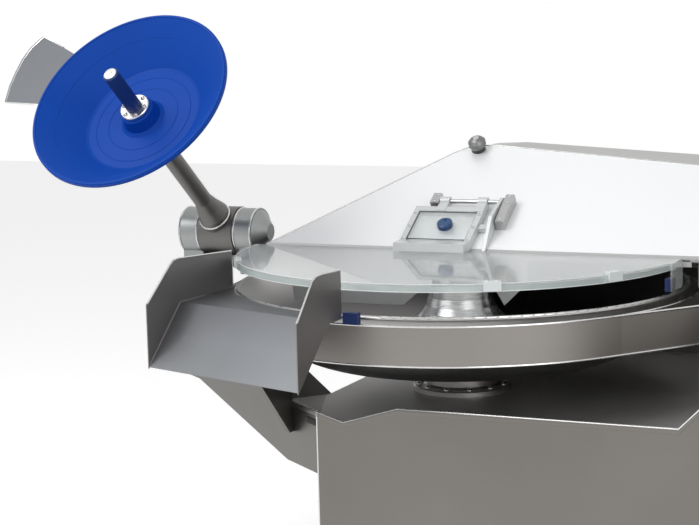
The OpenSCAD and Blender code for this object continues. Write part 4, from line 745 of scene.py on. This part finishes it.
# The steel pin is coloured navy: a painted reflection of the blue disc
pin_reflection = plain("pin_painted_reflection", (0.0025, 0.024, 0.135), 0.42, grain=0.08)
wear(pin_reflection, "dish_shaft")
mark_r = 0.0009
mark_places = ((0.110, 0.5712), (0.150, 0.5712), (0.2105, 0.5975), (0.252, 0.6335))
marks = [placed(rolled(r, z, mark_r, 120, sides=8), tube_place) for r, z in mark_places]
lip_in, lip_z, lip_r = 0.0062, 0.6676, 0.0045
marks.append(placed(rolled(dish_r - lip_in, lip_z, lip_r, 144, sides=12), tube_place))
piece("disc_turning", joined(*marks), disc_blue, "disc")
ring_side = [(0.0235, 0), (0.0425, 0), (0.0445, 0.002), (0.0445, 0.010), (0.0425, 0.0125), (0.0235, 0.0125)]
ring_place = tube_place @ Matrix.Translation((0, 0, 0.617))
piece("clamp_ring", placed(turned(ring_side, 60, closed=True), ring_place), edge_steel, "disc")
pin_cap = [(0, 0.003), (0.006, 0.003), (0.008, 0.0015), (0.0175, 0.0012), (0.019, 0)]
pin_place = tube_place @ Matrix.Translation((0, 0, 0.779))
piece("pin_end", placed(turned(pin_cap, 48), pin_place), edge_steel, "disc")
disc_screw = (0.006, 0.005)
disc_screw_n = 6
disc_screw_r = 0.0345
ring_top = 0.0125
piece("disc_screws", screw_ring(disc_screw, disc_screw_n, disc_screw_r, ring_top, ring_place),
      bright_screw, "disc")


# Floor and light: a pale floor that runs into a white surround. Both show as white to the camera
# and in reflections, while two soft lamps and the surround light the machine at a plain level
floor_size = 14
ground = bmesh.new()
bmesh.ops.create_grid(ground, x_segments=1, y_segments=1, size=floor_size)
sheet = bpy.data.meshes.new("floor")
ground.to_mesh(sheet)
ground.free()
floor = bpy.data.objects.new("floor", sheet)
bpy.context.scene.collection.objects.link(floor)


def shown(tree):
    ray = tree.nodes.new("ShaderNodeLightPath")
    camera_ray, glossy_ray, clear_ray = [Wire(tree, ray.outputs[name]) for name in
                                         ("Is Camera Ray", "Is Glossy Ray", "Is Transmission Ray")]
    return (camera_ray + glossy_ray + clear_ray).clamped()


pale = Finish("pale_floor")
pale.set(Base_Color=(0.90, 0.90, 0.90, 1), Roughness=0.9, Emission_Strength=1.0,
         Emission_Color=pale.mix(shown(pale.tree), (0, 0, 0, 1), (0.42, 0.42, 0.42, 1)))
floor.data.materials.append(pale.material)

world = bpy.data.worlds.new("surround")
bpy.context.scene.world = world
world.use_nodes = True
tree = world.node_tree
back = tree.nodes["Background"]
plain_level = 0.45
tree.links.new((shown(tree) * (1 - plain_level) + plain_level).socket, back.inputs["Strength"])
back.inputs["Color"].default_value = (1, 1, 1, 1)


def lamp(name, place, target, size, watts):
    light = bpy.data.lights.new(name, "AREA")
    light.shape = "RECTANGLE"
    light.size, light.size_y = size
    light.energy = watts
    lit = bpy.data.objects.new(name, light)
    bpy.context.scene.collection.objects.link(lit)
    lit.location = axis + Vector(place)
    lit.rotation_euler = (axis + Vector(target) - lit.location).to_track_quat("-Z", "Y").to_euler()


lamp("key", (-2.5, -3.0, 4.5), (0, 0, 1), (3, 3), 160)
lamp("fill", (3.5, -3.5, 3.0), (0, 0, 1), (3, 2), 60)

bpy.context.scene.view_settings.view_transform = "Standard"
